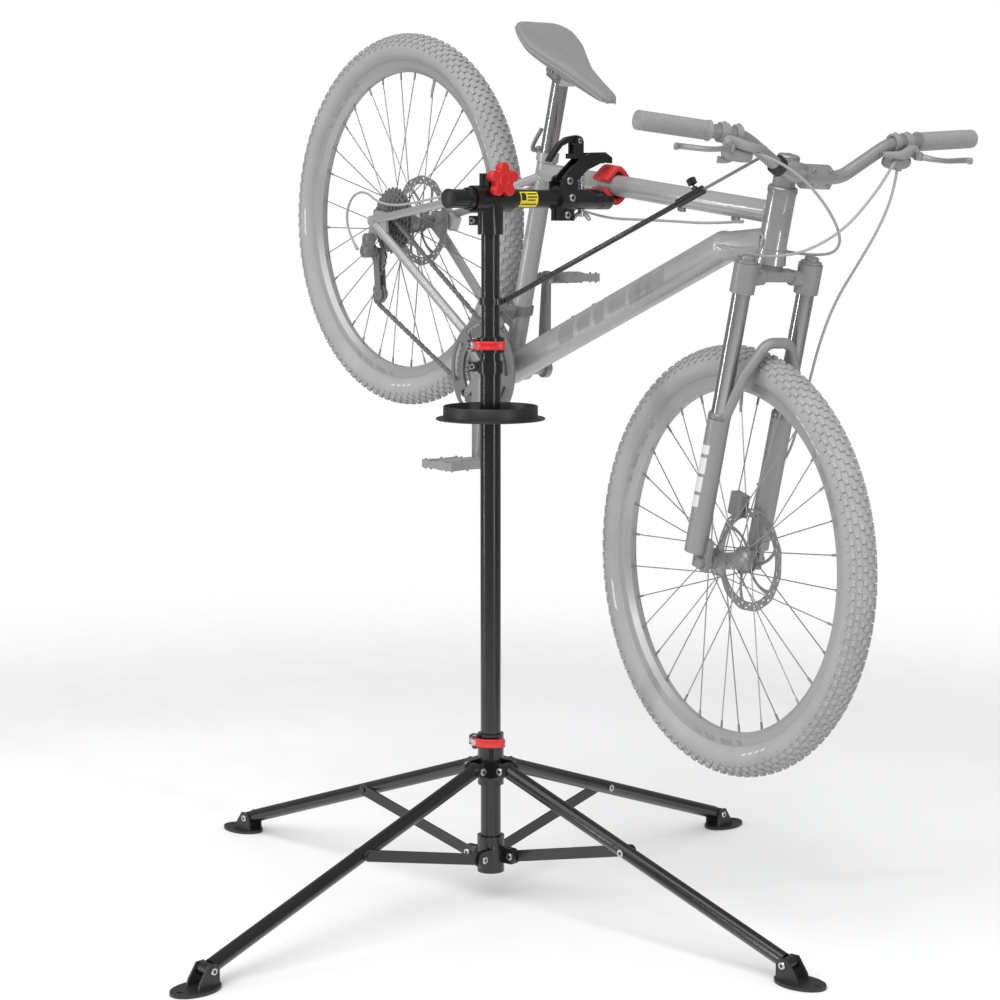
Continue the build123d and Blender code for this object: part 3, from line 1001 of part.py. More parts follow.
everything = Compound(children=[solid for solids in NODES.values() for solid in solids])
BOX = everything.bounding_box()
SHIFT = Vector(-(BOX.min.X + BOX.max.X) / 2, -(BOX.min.Y + BOX.max.Y) / 2, -BOX.min.Z)
os.makedirs("parts", exist_ok=True)
for name, solids in NODES.items():
    moved = [Pos(SHIFT.X, SHIFT.Y, SHIFT.Z) * solid for solid in solids]
    export_step(Compound(children=moved), f"parts/{name}.step")
print(f"{len(NODES)} nodes, box {BOX.size.X:.1f} x {BOX.size.Y:.1f} x {BOX.size.Z:.1f} mm, shift {SHIFT}")
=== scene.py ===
import json
import logging
import math
from dataclasses import dataclass
from enum import Enum
from typing import Sequence

import bmesh
import bpy
import numpy as np
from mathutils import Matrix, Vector


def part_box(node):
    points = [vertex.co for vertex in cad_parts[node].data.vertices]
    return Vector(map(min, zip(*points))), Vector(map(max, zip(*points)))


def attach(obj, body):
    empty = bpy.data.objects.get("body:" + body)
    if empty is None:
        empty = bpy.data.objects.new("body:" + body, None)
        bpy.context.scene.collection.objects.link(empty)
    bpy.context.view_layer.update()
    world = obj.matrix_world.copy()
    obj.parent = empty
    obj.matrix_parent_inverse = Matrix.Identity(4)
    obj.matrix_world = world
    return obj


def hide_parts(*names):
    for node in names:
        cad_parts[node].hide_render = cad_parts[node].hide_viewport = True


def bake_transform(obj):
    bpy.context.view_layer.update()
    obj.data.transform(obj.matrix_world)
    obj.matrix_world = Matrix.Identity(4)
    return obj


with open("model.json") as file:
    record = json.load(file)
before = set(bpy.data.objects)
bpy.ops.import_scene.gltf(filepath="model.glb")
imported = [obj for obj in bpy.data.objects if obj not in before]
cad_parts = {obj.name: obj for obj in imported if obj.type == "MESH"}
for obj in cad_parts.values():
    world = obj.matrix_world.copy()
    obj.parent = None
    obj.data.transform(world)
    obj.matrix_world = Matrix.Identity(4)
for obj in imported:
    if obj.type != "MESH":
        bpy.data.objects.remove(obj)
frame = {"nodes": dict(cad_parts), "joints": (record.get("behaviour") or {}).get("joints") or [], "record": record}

Array = np.ndarray
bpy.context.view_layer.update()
LOG = logging.getLogger("bicycle_on_stand")
MM = 0.001
FULL_TURN = 2 * math.pi


# ------------------------------------------------------------------ frames of reference
def unit(vector: Sequence[float]) -> Array:
    """Vector scaled to length one."""
    values = np.asarray(vector, float)
    return values / np.linalg.norm(values)


@dataclass(frozen=True)
class Axes:
    """Origin and three perpendicular unit axes, right-handed, in metres."""

    origin: Array
    x: Array
    y: Array
    z: Array

    def at(self, points: Array) -> Array:
        """World points of local ones: origin + x times the first value + y times the second + z times the
        third."""
        p = np.asarray(points, float)
        return self.origin + p[..., 0:1] * self.x + p[..., 1:2] * self.y + p[..., 2:3] * self.z

    def mm(self, x: float, y: float, z: float) -> Array:
        """World point of local millimetres."""
        return self.at(np.array([x, y, z]) * MM)

    def moved(self, x: float, y: float, z: float) -> "Axes":
        """The same axes with the origin moved by local millimetres."""
        return Axes(self.mm(x, y, z), self.x, self.y, self.z)

    def spun(self, angle: float) -> "Axes":
        """The axes turned about their own y by an angle in radians, x towards minus z."""
        c, s = math.cos(angle), math.sin(angle)
        return Axes(self.origin, c * self.x - s * self.z, self.y, s * self.x + c * self.z)

    def swung(self, angle: float) -> "Axes":
        """The axes turned about their own z by an angle in radians, x towards y."""
        c, s = math.cos(angle), math.sin(angle)
        return Axes(self.origin, c * self.x + s * self.y, c * self.y - s * self.x, self.z)


JOINTS = {joint["name"]: joint for joint in frame["joints"]}
HEAD_LEAN = math.radians(17.3)


def joint_point(name: str) -> Array:
    """Place of a hinge in the row frame."""
    return np.array(JOINTS[name]["pos_m"], float)


def joint_axis(name: str) -> Array:
    """Direction of a joint's axis."""
    return unit(JOINTS[name]["axis"])


def stand_axes() -> Axes:
    """Axes of the repair stand: z up the pole, y along the arm, origin on the floor."""
    low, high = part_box("lower_pole")
    return Axes(np.array([(low.x + high.x) / 2, (low.y + high.y) / 2, 0.0]), *np.eye(3))


def bike_axes() -> Axes:
    """Axes of the bicycle: origin at the rear axle, y to the left, x towards the front along the
    wheelbase."""
    left = joint_axis("rear_wheel_spin")
    steer = joint_axis("steering")
    forward = unit(np.cross(left, steer))
    level = Axes(joint_point("rear_wheel_spin"), forward, left, unit(np.cross(forward, left)))
    return level.spun(HEAD_LEAN)


def steer_axes() -> Axes:
    """Axes of the fork: z up the steering axis, y along the front axle, origin at the crown."""
    up = joint_axis("steering")
    left = joint_axis("front_wheel_spin")
    return Axes(joint_point("steering"), unit(np.cross(left, up)), left, up)


STAND = stand_axes()
BIKE = bike_axes()
STEER = steer_axes()


# ------------------------------------------------------------------ surfaces
def grid_faces(rows: int, columns: int, wrap_rows: bool = False, wrap_columns: bool = False) -> Array:
    """Quads between neighbours of a rows by columns grid of points.

    Args:
        rows: points along the first direction.
        columns: points along the second direction.
        wrap_rows: join the last row to the first.
        wrap_columns: join the last column to the first.

    Returns:
        Point numbers, four to a face.
    """
    index = np.arange(rows * columns).reshape(rows, columns)
    if wrap_rows:
        index = np.vstack([index, index[:1]])
    if wrap_columns:
        index = np.hstack([index, index[:, :1]])
    corners = (index[:-1, :-1], index[1:, :-1], index[1:, 1:], index[:-1, 1:])
    return np.stack(corners, -1).reshape(-1, 4)


def circle(radius: float, count: int = 16) -> Array:
    """Ring section: (radius cos t, radius sin t) in metres from a radius in millimetres."""
    t = np.arange(count) * FULL_TURN / count
    return np.stack([np.cos(t), np.sin(t)], -1) * radius * MM


def rounded(width: float, height: float, corner: float, steps: int = 4) -> Array:
    """Rectangle section with round corners, as arcs about the four corner centres, from millimetres."""
    t = np.linspace(0, math.pi / 2, steps)
    centres = np.array([[1, 1], [-1, 1], [-1, -1], [1, -1]]) * [width / 2 - corner, height / 2 - corner]
    quarter = np.arange(4) * math.pi / 2
    angles = quarter[:, None] + t[None]
    arcs = centres[:, None] + corner * np.stack([np.cos(angles), np.sin(angles)], -1)
    return arcs.reshape(-1, 2) * MM


def smooth_path(points: Array, count: int) -> Array:
    """Points evenly spaced in parameter on the Catmull-Rom curve through the given points.

    Each span blends its four nearest points with the usual cubic weights of the span's own 0 to 1 parameter.
    """
    p = np.asarray(points, float)
    p = np.vstack([2 * p[:1] - p[1:2], p, 2 * p[-1:] - p[-2:-1]])
    t = np.linspace(0, len(p) - 3, count)
    span = np.minimum(t.astype(int), len(p) - 4)
    u = (t - span)[:, None]
    a, b, c, d = p[span], p[span + 1], p[span + 2], p[span + 3]
    return 0.5 * (2 * b + (c - a) * u + (2 * a - 5 * b + 4 * c - d) * u ** 2 + (3 * b - a - 3 * c + d)
        * u ** 3)


def carried(path: Array, section: Array, scale: Array | float = 1.0, closed: bool = False,
            guide: Array | None = None) -> tuple[Array, list[Array]]:
    """Section carried along a path: path + right times section x + over times section y, each times the
    scale.

    Args:
        path: world points, n by 3.
        section: outline in metres, k by 2.
        scale: one factor, n factors, or n by 2 factors for the two directions.
        closed: join the end of the path to its start.
        guide: direction that the section's second axis leans towards.

    Returns:
        Points and groups of faces, closed at both ends.
    """
    path = np.asarray(path, float)
    step = np.roll(path, -1, 0) - np.roll(path, 1, 0) if closed else np.gradient(path, axis=0)
    tangent = step / np.linalg.norm(step, axis=1, keepdims=True)
    if guide is None:
        guide = np.eye(3)[np.argmin(np.abs(tangent).max(0))]
    right = np.cross(tangent, guide)
    right /= np.linalg.norm(right, axis=1, keepdims=True)
    over = np.cross(right, tangent)
    factor = np.broadcast_to(np.asarray(scale, float).reshape(-1, 1) if np.ndim(scale) == 1 else scale,
        (len(path), 2))
    spread = factor[:, None, :] * section[None]
    points = path[:, None] + spread[..., :1] * right[:, None] + spread[..., 1:] * over[:, None]
    faces = [grid_faces(len(path), len(section), closed, True)]
    if not closed:
        ring = np.arange(len(section))
        faces += [ring[None], ring[None] + (len(path) - 1) * len(section)]
    return points.reshape(-1, 3), faces


def bar(start: Array, end: Array, section: Array, guide: Array | None = None) -> tuple[Array, list[Array]]:
    """Straight prism of a section between two points."""
    return carried(np.stack([start, end]), section, 1.0, False, guide)


def revolved(profile: Array, axes: Axes, count: int = 64, hexed: Array | None = None) -> tuple[Array,
        list[Array]]:
    """Closed profile turned about the axes' y: x = r cos t, y = along, z = r sin t.

    Args:
        profile: radius and distance along the axis, k by 2, in millimetres, round the solid's section.
        axes: where the turning axis lies.
        count: points round the turn.
        hexed: true for the profile points whose radius follows a hexagon.

    Returns:
        Points and groups of faces.
    """
    profile = np.asarray(profile, float) * MM
    t = np.arange(count) * FULL_TURN / count
    radius = np.repeat(profile[:, :1], count, 1)
    if hexed is not None:
        sixth = math.pi / 3
        flat = math.cos(sixth / 2) / np.cos(t % sixth - sixth / 2)
        radius = np.where(np.asarray(hexed)[:, None], radius * flat, radius)
    along = np.repeat(profile[:, 1:], count, 1)
    points = axes.at(np.stack([radius * np.cos(t), along, radius * np.sin(t)], -1))
    return points.reshape(-1, 3), [grid_faces(len(profile), count, True, True)]


def slab(top: Array, bottom: Array, keep: Array, wrap: bool) -> tuple[Array, list[Array]]:
    """Plate between two point grids with the cells that keep leaves out as holes, walled all round.

    Args:
        top: rows by columns by 3 points of the upper skin.
        bottom: the same for the lower skin.
        keep: true where a cell is solid; one row more than the spans where the rows wrap.
        wrap: whether the last row joins the first.

    Returns:
        Points and groups of faces.
    """
    rows, columns = top.shape[:2]
    index = np.arange(rows * columns).reshape(rows, columns)
    if wrap:
        index = np.vstack([index, index[:1]])
    a, b, c, d = index[:-1, :-1], index[1:, :-1], index[1:, 1:], index[:-1, 1:]
    below = rows * columns
    quads = [np.stack([a, b, c, d], -1)[keep], np.stack([d, c, b, a], -1)[keep] + below]
    around = np.pad(keep, 1)
    if wrap:
        around[0, 1:-1] = keep[-1]
        around[-1, 1:-1] = keep[0]
    edges = ((around[1:-1, :-2], a, b), (around[1:-1, 2:], c, d), (around[:-2, 1:-1], d, a),
        (around[2:, 1:-1], b, c))
    for beside, first, second in edges:
        open_edge = keep & ~beside
        one, two = first[open_edge], second[open_edge]
        quads.append(np.stack([one, two, two + below, one + below], -1))
    return np.concatenate([top.reshape(-1, 3), bottom.reshape(-1, 3)]), [np.concatenate(quads)]


def repeated(points: Array, faces: list[Array], origins: Array, bases: Array) -> tuple[Array, list[Array]]:
    """Copies of one small shape: each point is the copy's origin + the local point times the copy's three
    axes."""
    placed = origins[:, None] + np.einsum("kd,nde->nke", points, bases)
    shift = (np.arange(len(origins)) * len(points))[:, None, None]
    return placed.reshape(-1, 3), [(group[None] + shift).reshape(-1, group.shape[1]) for group in faces]


def block_template(half_x: float, half_y: float, height: float, chamfer: float) -> tuple[Array, list[Array]]:
    """Small block standing on z = 0 with chamfered upper edges, three rings of four points, from
    millimetres."""
    ring = np.array([[1, 1], [-1, 1], [-1, -1], [1, -1]], float)
    levels = [(0, 0.0), (0, height - chamfer), (chamfer, height)]
    rings = [np.column_stack([ring * [half_x - cut, half_y - cut], np.full(4, z)]) for cut, z in levels]
    cap = np.arange(4)[None]
    return np.concatenate(rings) * MM, [grid_faces(3, 4, False, True), cap, cap + 8]


def washer_ring(radius: Array, inner: float, low: float, high: float, axes: Axes,
                keep: Array | None = None, steps: Sequence[float] = ()) -> tuple[Array, list[Array]]:
    """Flat ring whose outer radius changes round the turn, as a gear or a wavy disc does.

    Args:
        radius: outer radius at each step round the turn, in millimetres.
        inner: inner radius.
        low: lower face along the axes' y.
        high: upper face.
        axes: where the turning axis lies.
        keep: cells that stay, steps round by rings across.
        steps: shares of the way from inner to outer where further rings lie.

    Returns:
        Points and groups of faces.
    """
    count = len(radius)
    t = np.arange(count) * FULL_TURN / count
    share = np.array([0.0, *steps, 1.0])
    r = (inner + (radius[:, None] - inner) * share[None]) * MM
    flat = np.stack([r * np.cos(t)[:, None], np.zeros_like(r), r * np.sin(t)[:, None]], -1)
    if keep is None:
        keep = np.ones((count, len(share) - 1), bool)
    upper = axes.at(flat + [0, high * MM, 0])
    lower = axes.at(flat + [0, low * MM, 0])
    return slab(upper, lower, keep, True)


def toothed(teeth: int, per_tooth: int = 8, depth: float = 3.2) -> Array:
    """Outer radius of a sprocket: pitch radius + depth times a flattened cosine of the tooth angle, in
    millimetres."""
    pitch_radius = teeth * 12.7 / FULL_TURN
    t = np.arange(teeth * per_tooth) * FULL_TURN / per_tooth
    wave = np.cos(t)
    return pitch_radius + depth * np.sign(wave) * np.abs(wave) ** 0.7


class Shape:
    """Surfaces gathered into one mesh piece."""

    def __init__(self) -> None:
        """Starts empty."""
        self.points: list[Array] = []
        self.faces: list[Array] = []
        self.count = 0

    def add(self, surface: tuple[Array, list[Array]]) -> "Shape":
        """Adds one surface and returns the shape."""
        points, groups = surface
        self.points.append(points)
        self.faces += [group + self.count for group in groups]
        self.count += len(points)
        return self

    def add_bolt(self, place: Array, axis: Array, radius: float = 5.5, height: float = 3.0) -> "Shape":
        """Adds a domed screw head with a hexagon socket, standing on a face."""
        socket = radius * 0.5
        sink = height * 0.4
        profile = [(0, sink), (socket, sink), (socket, height), (radius * 0.8, height),
            (radius, height * 0.7),
                   (radius, -0.4), (0, -0.4)]
        side = unit(np.cross(axis, [0.31, 0.22, 0.93]))
        axes = Axes(np.asarray(place, float), side, unit(axis), unit(np.cross(side, axis)))
        hexed = np.array([False, True, True, False, False, False, False])
        return self.add(revolved(profile, axes, 24, hexed))

    def mesh(self, name: str, sharp: float) -> bpy.types.Mesh:
        """Blender mesh of the gathered faces, merged, without loose points, facing outwards."""
        points = np.concatenate(self.points)
        sizes = np.concatenate([np.full(len(group), group.shape[1]) for group in self.faces])
        loops = np.concatenate([group.ravel() for group in self.faces])
        mesh = bpy.data.meshes.new(name)
        mesh.vertices.add(len(points))
        mesh.vertices.foreach_set("co", points.astype(np.float32).ravel())
        mesh.loops.add(len(loops))
        mesh.loops.foreach_set("vertex_index", loops.astype(np.int32))
        mesh.polygons.add(len(sizes))
        starts = np.concatenate([[0], np.cumsum(sizes)[:-1]])
        mesh.polygons.foreach_set("loop_start", starts.astype(np.int32))
        mesh.update(calc_edges=True)
        tidy_mesh(mesh, sharp)
        return mesh


def tidy_mesh(mesh: bpy.types.Mesh, sharp: float, flat_merge: bool = False) -> None:
    """Merges doubles, drops loose points, turns faces outwards and marks sharp edges.

    Args:
        mesh: the mesh to change.
        sharp: edges that turn more than this many degrees stay sharp.
        flat_merge: join coplanar triangles into larger faces.
    """
    work = bmesh.new()
    work.from_mesh(mesh)
    bmesh.ops.remove_doubles(work, verts=work.verts, dist=2e-6)
    if flat_merge:
        bmesh.ops.dissolve_limit(work, angle_limit=math.radians(0.6), verts=work.verts, edges=work.edges)
    bmesh.ops.delete(work, geom=[v for v in work.verts if not v.link_faces], context="VERTS")
    bmesh.ops.recalc_face_normals(work, faces=work.faces)
    work.to_mesh(mesh)
    work.free()
    mesh.polygons.foreach_set("use_smooth", np.ones(len(mesh.polygons), bool))
    mesh.set_sharp_from_angle(angle=math.radians(sharp))


# ------------------------------------------------------------------ finishes
def socket_group(name: str, inputs: dict[str, tuple[str, float | tuple]], outputs: dict[str, str]) -> tuple:
    """New shader group with named sockets.

    Args:
        name: the group's name.
        inputs: socket type and default by name.
        outputs: socket type by name.

    Returns:
        The tree, its input node and its output node.
    """
    tree = bpy.data.node_groups.new(name, "ShaderNodeTree")
    for label, (kind, default) in inputs.items():
        made = tree.interface.new_socket(label, in_out="INPUT", socket_type=kind)
        if kind != "NodeSocketVector":
            made.default_value = default
    for label, kind in outputs.items():
        tree.interface.new_socket(label, in_out="OUTPUT", socket_type=kind)
    return tree, tree.nodes.new("NodeGroupInput"), tree.nodes.new("NodeGroupOutput")


def noise(tree: bpy.types.NodeTree, vector: bpy.types.NodeSocket, scale: bpy.types.NodeSocket | float,
          detail: float = 3.0) -> bpy.types.Node:
    """Noise texture fed by a vector."""
    node = tree.nodes.new("ShaderNodeTexNoise")
    node.inputs["Detail"].default_value = detail
    tree.links.new(vector, node.inputs["Vector"])
    if isinstance(scale, (int, float)):
        node.inputs["Scale"].default_value = scale
    else:
        tree.links.new(scale, node.inputs["Scale"])
    return node


def ranged(tree: bpy.types.NodeTree, value: bpy.types.NodeSocket, low: float, high: float,
           to_low: float = 0.0, to_high: float = 1.0) -> bpy.types.NodeSocket:
    """Map Range from one span to another, held inside it."""
    node = tree.nodes.new("ShaderNodeMapRange")
    tree.links.new(value, node.inputs["Value"])
    for label, number in zip(("From Min", "From Max", "To Min", "To Max"), (low, high, to_low, to_high)):
        node.inputs[label].default_value = number
    return node.outputs["Result"]


def maths(tree: bpy.types.NodeTree, kind: str, first: object, second: object) -> bpy.types.NodeSocket:
    """Math node of two values or sockets."""
    node = tree.nodes.new("ShaderNodeMath")
    node.operation = kind
    for slot, value in enumerate((first, second)):
        if isinstance(value, (int, float)):
            node.inputs[slot].default_value = value
        else:
            tree.links.new(value, node.inputs[slot])
    return node.outputs["Value"]


def mottle_group() -> bpy.types.NodeTree:
    """Group that wanders between two colours in soft clouds with fine specks on them."""
    tree, given, out = socket_group(
        "mottle", {"Vector": ("NodeSocketVector", 0), "Scale": ("NodeSocketFloat", 8.0),
                   "First": ("NodeSocketColor", (0.5, 0.5, 0.5, 1)),
                   "Second": ("NodeSocketColor", (0.4, 0.4, 0.4, 1))},
        {"Colour": "NodeSocketColor", "Mask": "NodeSocketFloat"})
    clouds = noise(tree, given.outputs["Vector"], given.outputs["Scale"], 5.0)
    specks = noise(tree, given.outputs["Vector"], maths(tree, "MULTIPLY", given.outputs["Scale"], 38.0), 2.0)
    both = maths(tree, "ADD", maths(tree, "MULTIPLY", clouds.outputs["Fac"], 0.72),
                 maths(tree, "MULTIPLY", specks.outputs["Fac"], 0.28))
    mask = ranged(tree, both, 0.38, 0.62)
    mix = tree.nodes.new("ShaderNodeMix")
    mix.data_type = "RGBA"
    tree.links.new(mask, mix.inputs["Factor"])
    tree.links.new(given.outputs["First"], mix.inputs["A"])
    tree.links.new(given.outputs["Second"], mix.inputs["B"])
    tree.links.new(mix.outputs["Result"], out.inputs["Colour"])
    tree.links.new(mask, out.inputs["Mask"])
    return tree


def grain_group() -> bpy.types.NodeTree:
    """Group that gives a fine pebbled height and a roughness that varies with it and with broad smears."""
    tree, given, out = socket_group(
        "grain", {"Vector": ("NodeSocketVector", 0), "Scale": ("NodeSocketFloat", 900.0),
                  "Rough": ("NodeSocketFloat", 0.4), "Spread": ("NodeSocketFloat", 0.1)},
        {"Height": "NodeSocketFloat", "Roughness": "NodeSocketFloat"})
    pebbles = tree.nodes.new("ShaderNodeTexVoronoi")
    pebbles.feature = "SMOOTH_F1"
    tree.links.new(given.outputs["Vector"], pebbles.inputs["Vector"])
    tree.links.new(given.outputs["Scale"], pebbles.inputs["Scale"])
    ripple = noise(tree, given.outputs["Vector"], maths(tree, "MULTIPLY", given.outputs["Scale"], 0.35), 2.0)
    height = maths(tree, "ADD", maths(tree, "MULTIPLY", pebbles.outputs["Distance"], 0.6),
                   maths(tree, "MULTIPLY", ripple.outputs["Fac"], 0.7))
    smears = noise(tree, given.outputs["Vector"], 11.0, 6.0)
    swing = maths(tree, "SUBTRACT", smears.outputs["Fac"], 0.5)
    rough = maths(tree, "ADD", given.outputs["Rough"],
                  maths(tree, "MULTIPLY", maths(tree, "MULTIPLY", swing, 2.2), given.outputs["Spread"]))
    tree.links.new(height, out.inputs["Height"])
    tree.links.new(rough, out.inputs["Roughness"])
    return tree


def brushed_group() -> bpy.types.NodeTree:
    """Group that gives long fine lines along one axis, as a brushed or drawn metal has."""
    tree, given, out = socket_group(
        "brushed", {"Vector": ("NodeSocketVector", 0), "Scale": ("NodeSocketFloat", 60.0)},
        {"Lines": "NodeSocketFloat"})
    stretch = tree.nodes.new("ShaderNodeMapping")
    stretch.inputs["Scale"].default_value = (1.0, 14.0, 14.0)
    tree.links.new(given.outputs["Vector"], stretch.inputs["Vector"])
    lines = noise(tree, stretch.outputs["Vector"], given.outputs["Scale"], 4.0)
    tree.links.new(lines.outputs["Fac"], out.inputs["Lines"])
    return tree


class Surface(Enum):
    """Ways in which a finish's relief is made."""

    GRAIN = "grain"
    BRUSHED = "brushed"


GROUPS = {"mottle": mottle_group(), "grain": grain_group(), "brushed": brushed_group()}


@dataclass(frozen=True)
class Finish:
    """One material: two close colours, gloss and relief."""

    name: str
    first: tuple[float, float, float]
    second: tuple[float, float, float]
    rough: float = 0.45
    metal: float = 0.0
    grain: float = 900.0
    relief: float = 0.12
    depth: float = 0.0002
    spread: float = 0.12
    coat: float = 0.0
    coat_rough: float = 0.1
    sheen: float = 0.0
    mottle: float = 8.0
    surface: Surface = Surface.GRAIN

    def material(self) -> bpy.types.Material:
        """The finish as a Blender material, made once."""
        known = bpy.data.materials.get(self.name)
        if known:
            return known
        material = bpy.data.materials.new(self.name)
        material.use_nodes = True
        tree = material.node_tree
        shader = tree.nodes["Principled BSDF"]
        place = tree.nodes.new("ShaderNodeTexCoord").outputs["Object"]
        colours = self.group(tree, "mottle", place)
        colours.inputs["Scale"].default_value = self.mottle
        colours.inputs["First"].default_value = (*self.first, 1)
        colours.inputs["Second"].default_value = (*self.second, 1)
        tree.links.new(colours.outputs["Colour"], shader.inputs["Base Color"])
        relief = self.group(tree, "grain", place)
        relief.inputs["Scale"].default_value = self.grain
        relief.inputs["Rough"].default_value = self.rough
        relief.inputs["Spread"].default_value = self.spread
        tree.links.new(relief.outputs["Roughness"], shader.inputs["Roughness"])
        height = relief.outputs["Height"]
        if self.surface is Surface.BRUSHED:
            lines = self.group(tree, "brushed", place)
            height = maths(tree, "ADD", maths(tree, "MULTIPLY", height, 0.3), lines.outputs["Lines"])
        bump = tree.nodes.new("ShaderNodeBump")
        bump.inputs["Strength"].default_value = self.relief
        bump.inputs["Distance"].default_value = self.depth
        tree.links.new(height, bump.inputs["Height"])
        tree.links.new(bump.outputs["Normal"], shader.inputs["Normal"])
        shader.inputs["Metallic"].default_value = self.metal
        shader.inputs["Coat Weight"].default_value = self.coat
        shader.inputs["Coat Roughness"].default_value = self.coat_rough
        shader.inputs["Sheen Weight"].default_value = self.sheen
        return material

    @staticmethod
    def group(tree: bpy.types.NodeTree, name: str, place: bpy.types.NodeSocket) -> bpy.types.Node:
        """Places a shared group fed with the piece's own coordinates."""
        node = tree.nodes.new("ShaderNodeGroup")
        node.node_tree = GROUPS[name]
        tree.links.new(place, node.inputs["Vector"])
        return node


def grey(value: float, lift: float = 0.06) -> dict[str, tuple[float, float, float]]:
    """Two close neutral greys for a finish."""
    return {"first": (value, value, value * 1.005),
        "second": (value * (1 - lift), value * (1 - lift), value * (1 - lift))}


POWDER = Finish("black_powder_coat", (0.006, 0.0062, 0.007), (0.009, 0.0092, 0.0105), rough=0.24,
    grain=1500.0,
                relief=0.1, coat=0.25, coat_rough=0.16)
BLACK_MOULD = Finish("black_moulded", (0.012, 0.012, 0.013), (0.018, 0.018, 0.02), rough=0.45, grain=1100.0,
    relief=0.2)
RED_MOULD = Finish("red_moulded", (0.62, 0.012, 0.01), (0.52, 0.008, 0.008), rough=0.32, grain=800.0,
    relief=0.08,
                   coat=0.3, coat_rough=0.2)
RED_SOFT = Finish("red_soft_pad", (0.6, 0.016, 0.014), (0.5, 0.01, 0.01), rough=0.55, grain=500.0,
    relief=0.25, sheen=0.1)
BOLT_STEEL = Finish("zinc_bolt", (0.62, 0.62, 0.6), (0.5, 0.5, 0.49), rough=0.28, metal=1.0, grain=700.0,
    relief=0.08)
YELLOW_LABEL = Finish("yellow_label", (0.85, 0.68, 0.02), (0.8, 0.62, 0.02), rough=0.4, relief=0.03, coat=0.3)
DARK_PRINT = Finish("dark_print", (0.02, 0.02, 0.02), (0.03, 0.03, 0.03), rough=0.5, relief=0.03)
FRAME_PAINT = Finish("frame_paint", **grey(0.40, 0.05), rough=0.3, metal=0.35, grain=1400.0, relief=0.05,
    coat=0.5,
                     coat_rough=0.12, mottle=3.0)
FRAME_DECAL = Finish("frame_decal", **grey(0.27, 0.05), rough=0.3, metal=0.1, relief=0.04, coat=0.4)
PALE_DECAL = Finish("pale_decal", **grey(0.62, 0.04), rough=0.35, relief=0.03)
SHINY_PAINT = Finish("shiny_paint", **grey(0.46, 0.04), rough=0.2, metal=0.6, relief=0.04, coat=0.6,
    coat_rough=0.08)
FORK_PAINT = Finish("fork_paint", **grey(0.25, 0.06), rough=0.4, metal=0.15, relief=0.08, coat=0.2)
STANCHION = Finish("stanchion", **grey(0.44, 0.04), rough=0.18, metal=0.9, relief=0.03,
    surface=Surface.BRUSHED)
TYRE_RUBBER = Finish("tyre_rubber", **grey(0.34, 0.1), rough=0.72, grain=420.0, relief=0.3, depth=0.0004,
    mottle=14.0)
RIM_METAL = Finish("rim_metal", **grey(0.38, 0.05), rough=0.36, metal=0.35, relief=0.06,
    surface=Surface.BRUSHED)
SPOKE_METAL = Finish("spoke_metal", **grey(0.32, 0.04), rough=0.3, metal=0.7, relief=0.03)
PART_METAL = Finish("part_metal", **grey(0.31, 0.07), rough=0.34, metal=0.45, relief=0.08,
    surface=Surface.BRUSHED)
DARK_METAL = Finish("dark_metal", **grey(0.22, 0.08), rough=0.38, metal=0.4, relief=0.08)
CHAIN_METAL = Finish("chain_metal", **grey(0.29, 0.1), rough=0.32, metal=0.7, relief=0.06)
PART_PLASTIC = Finish("part_plastic", **grey(0.26, 0.07), rough=0.5, grain=700.0, relief=0.18)
GRIP_RUBBER = Finish("grip_rubber", **grey(0.27, 0.08), rough=0.62, grain=600.0, relief=0.28)
SADDLE_SKIN = Finish("saddle_skin", **grey(0.21, 0.08), rough=0.5, grain=330.0, relief=0.32, depth=0.0004,
    sheen=0.2,
                     mottle=18.0)
CABLE_SKIN = Finish("cable_skin", **grey(0.33, 0.06), rough=0.4, grain=700.0, relief=0.06)
FLOOR = Finish("pale_floor", **grey(0.86, 0.012), rough=0.5, grain=140.0, relief=0.02, mottle=1.2)


def finish_piece(obj: bpy.types.Object, body: str, finish: Finish,
        nodes: Sequence[str] = ()) -> bpy.types.Object:
    """Gives a piece its material and body, and hides the nodes that it stands for.

    Args:
        obj: the piece.
        body: the body that it moves with, or nothing for a piece that is left unattached.
        finish: its material.
        nodes: the nodes that it replaces.

    Returns:
        The piece.
    """
    if obj.name not in bpy.context.scene.collection.objects:
        bpy.context.scene.collection.objects.link(obj)
    obj.data.materials.clear()
    obj.data.materials.append(finish.material())
    if body:
        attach(obj, body)
    if nodes:
        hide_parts(*nodes)
    triangles = sum(len(face.vertices) - 2 for face in obj.data.polygons) if obj.type == "MESH" else 0
    LOG.info("%s on %s: %d triangles", obj.name, body, triangles)
    return obj


def piece(name: str, shape: Shape, body: str, finish: Finish, nodes: Sequence[str] = (),
          sharp: float = 32.0, bevel: float = 0.0) -> bpy.types.Object:
    """Makes a gathered shape a finished piece, with a live bevel of the given width in millimetres."""
    obj = bpy.data.objects.new(name, shape.mesh(name, sharp))
    if bevel:
        add_bevel(obj, bevel, sharp)
    return finish_piece(obj, body, finish, nodes)


def add_bevel(obj: bpy.types.Object, width: float, angle: float, segments: int = 2) -> None:
    """Adds a narrow bevel modifier on the sharp edges."""
    bevel = obj.modifiers.new("edge", "BEVEL")
    bevel.width = width * MM
    bevel.segments = segments
    bevel.limit_method = "ANGLE"
    bevel.angle_limit = math.radians(angle)
    bevel.harden_normals = True


BODY_OF = {node: body for body, nodes in frame["record"]["behaviour"]["bodies"].items() for node in nodes}


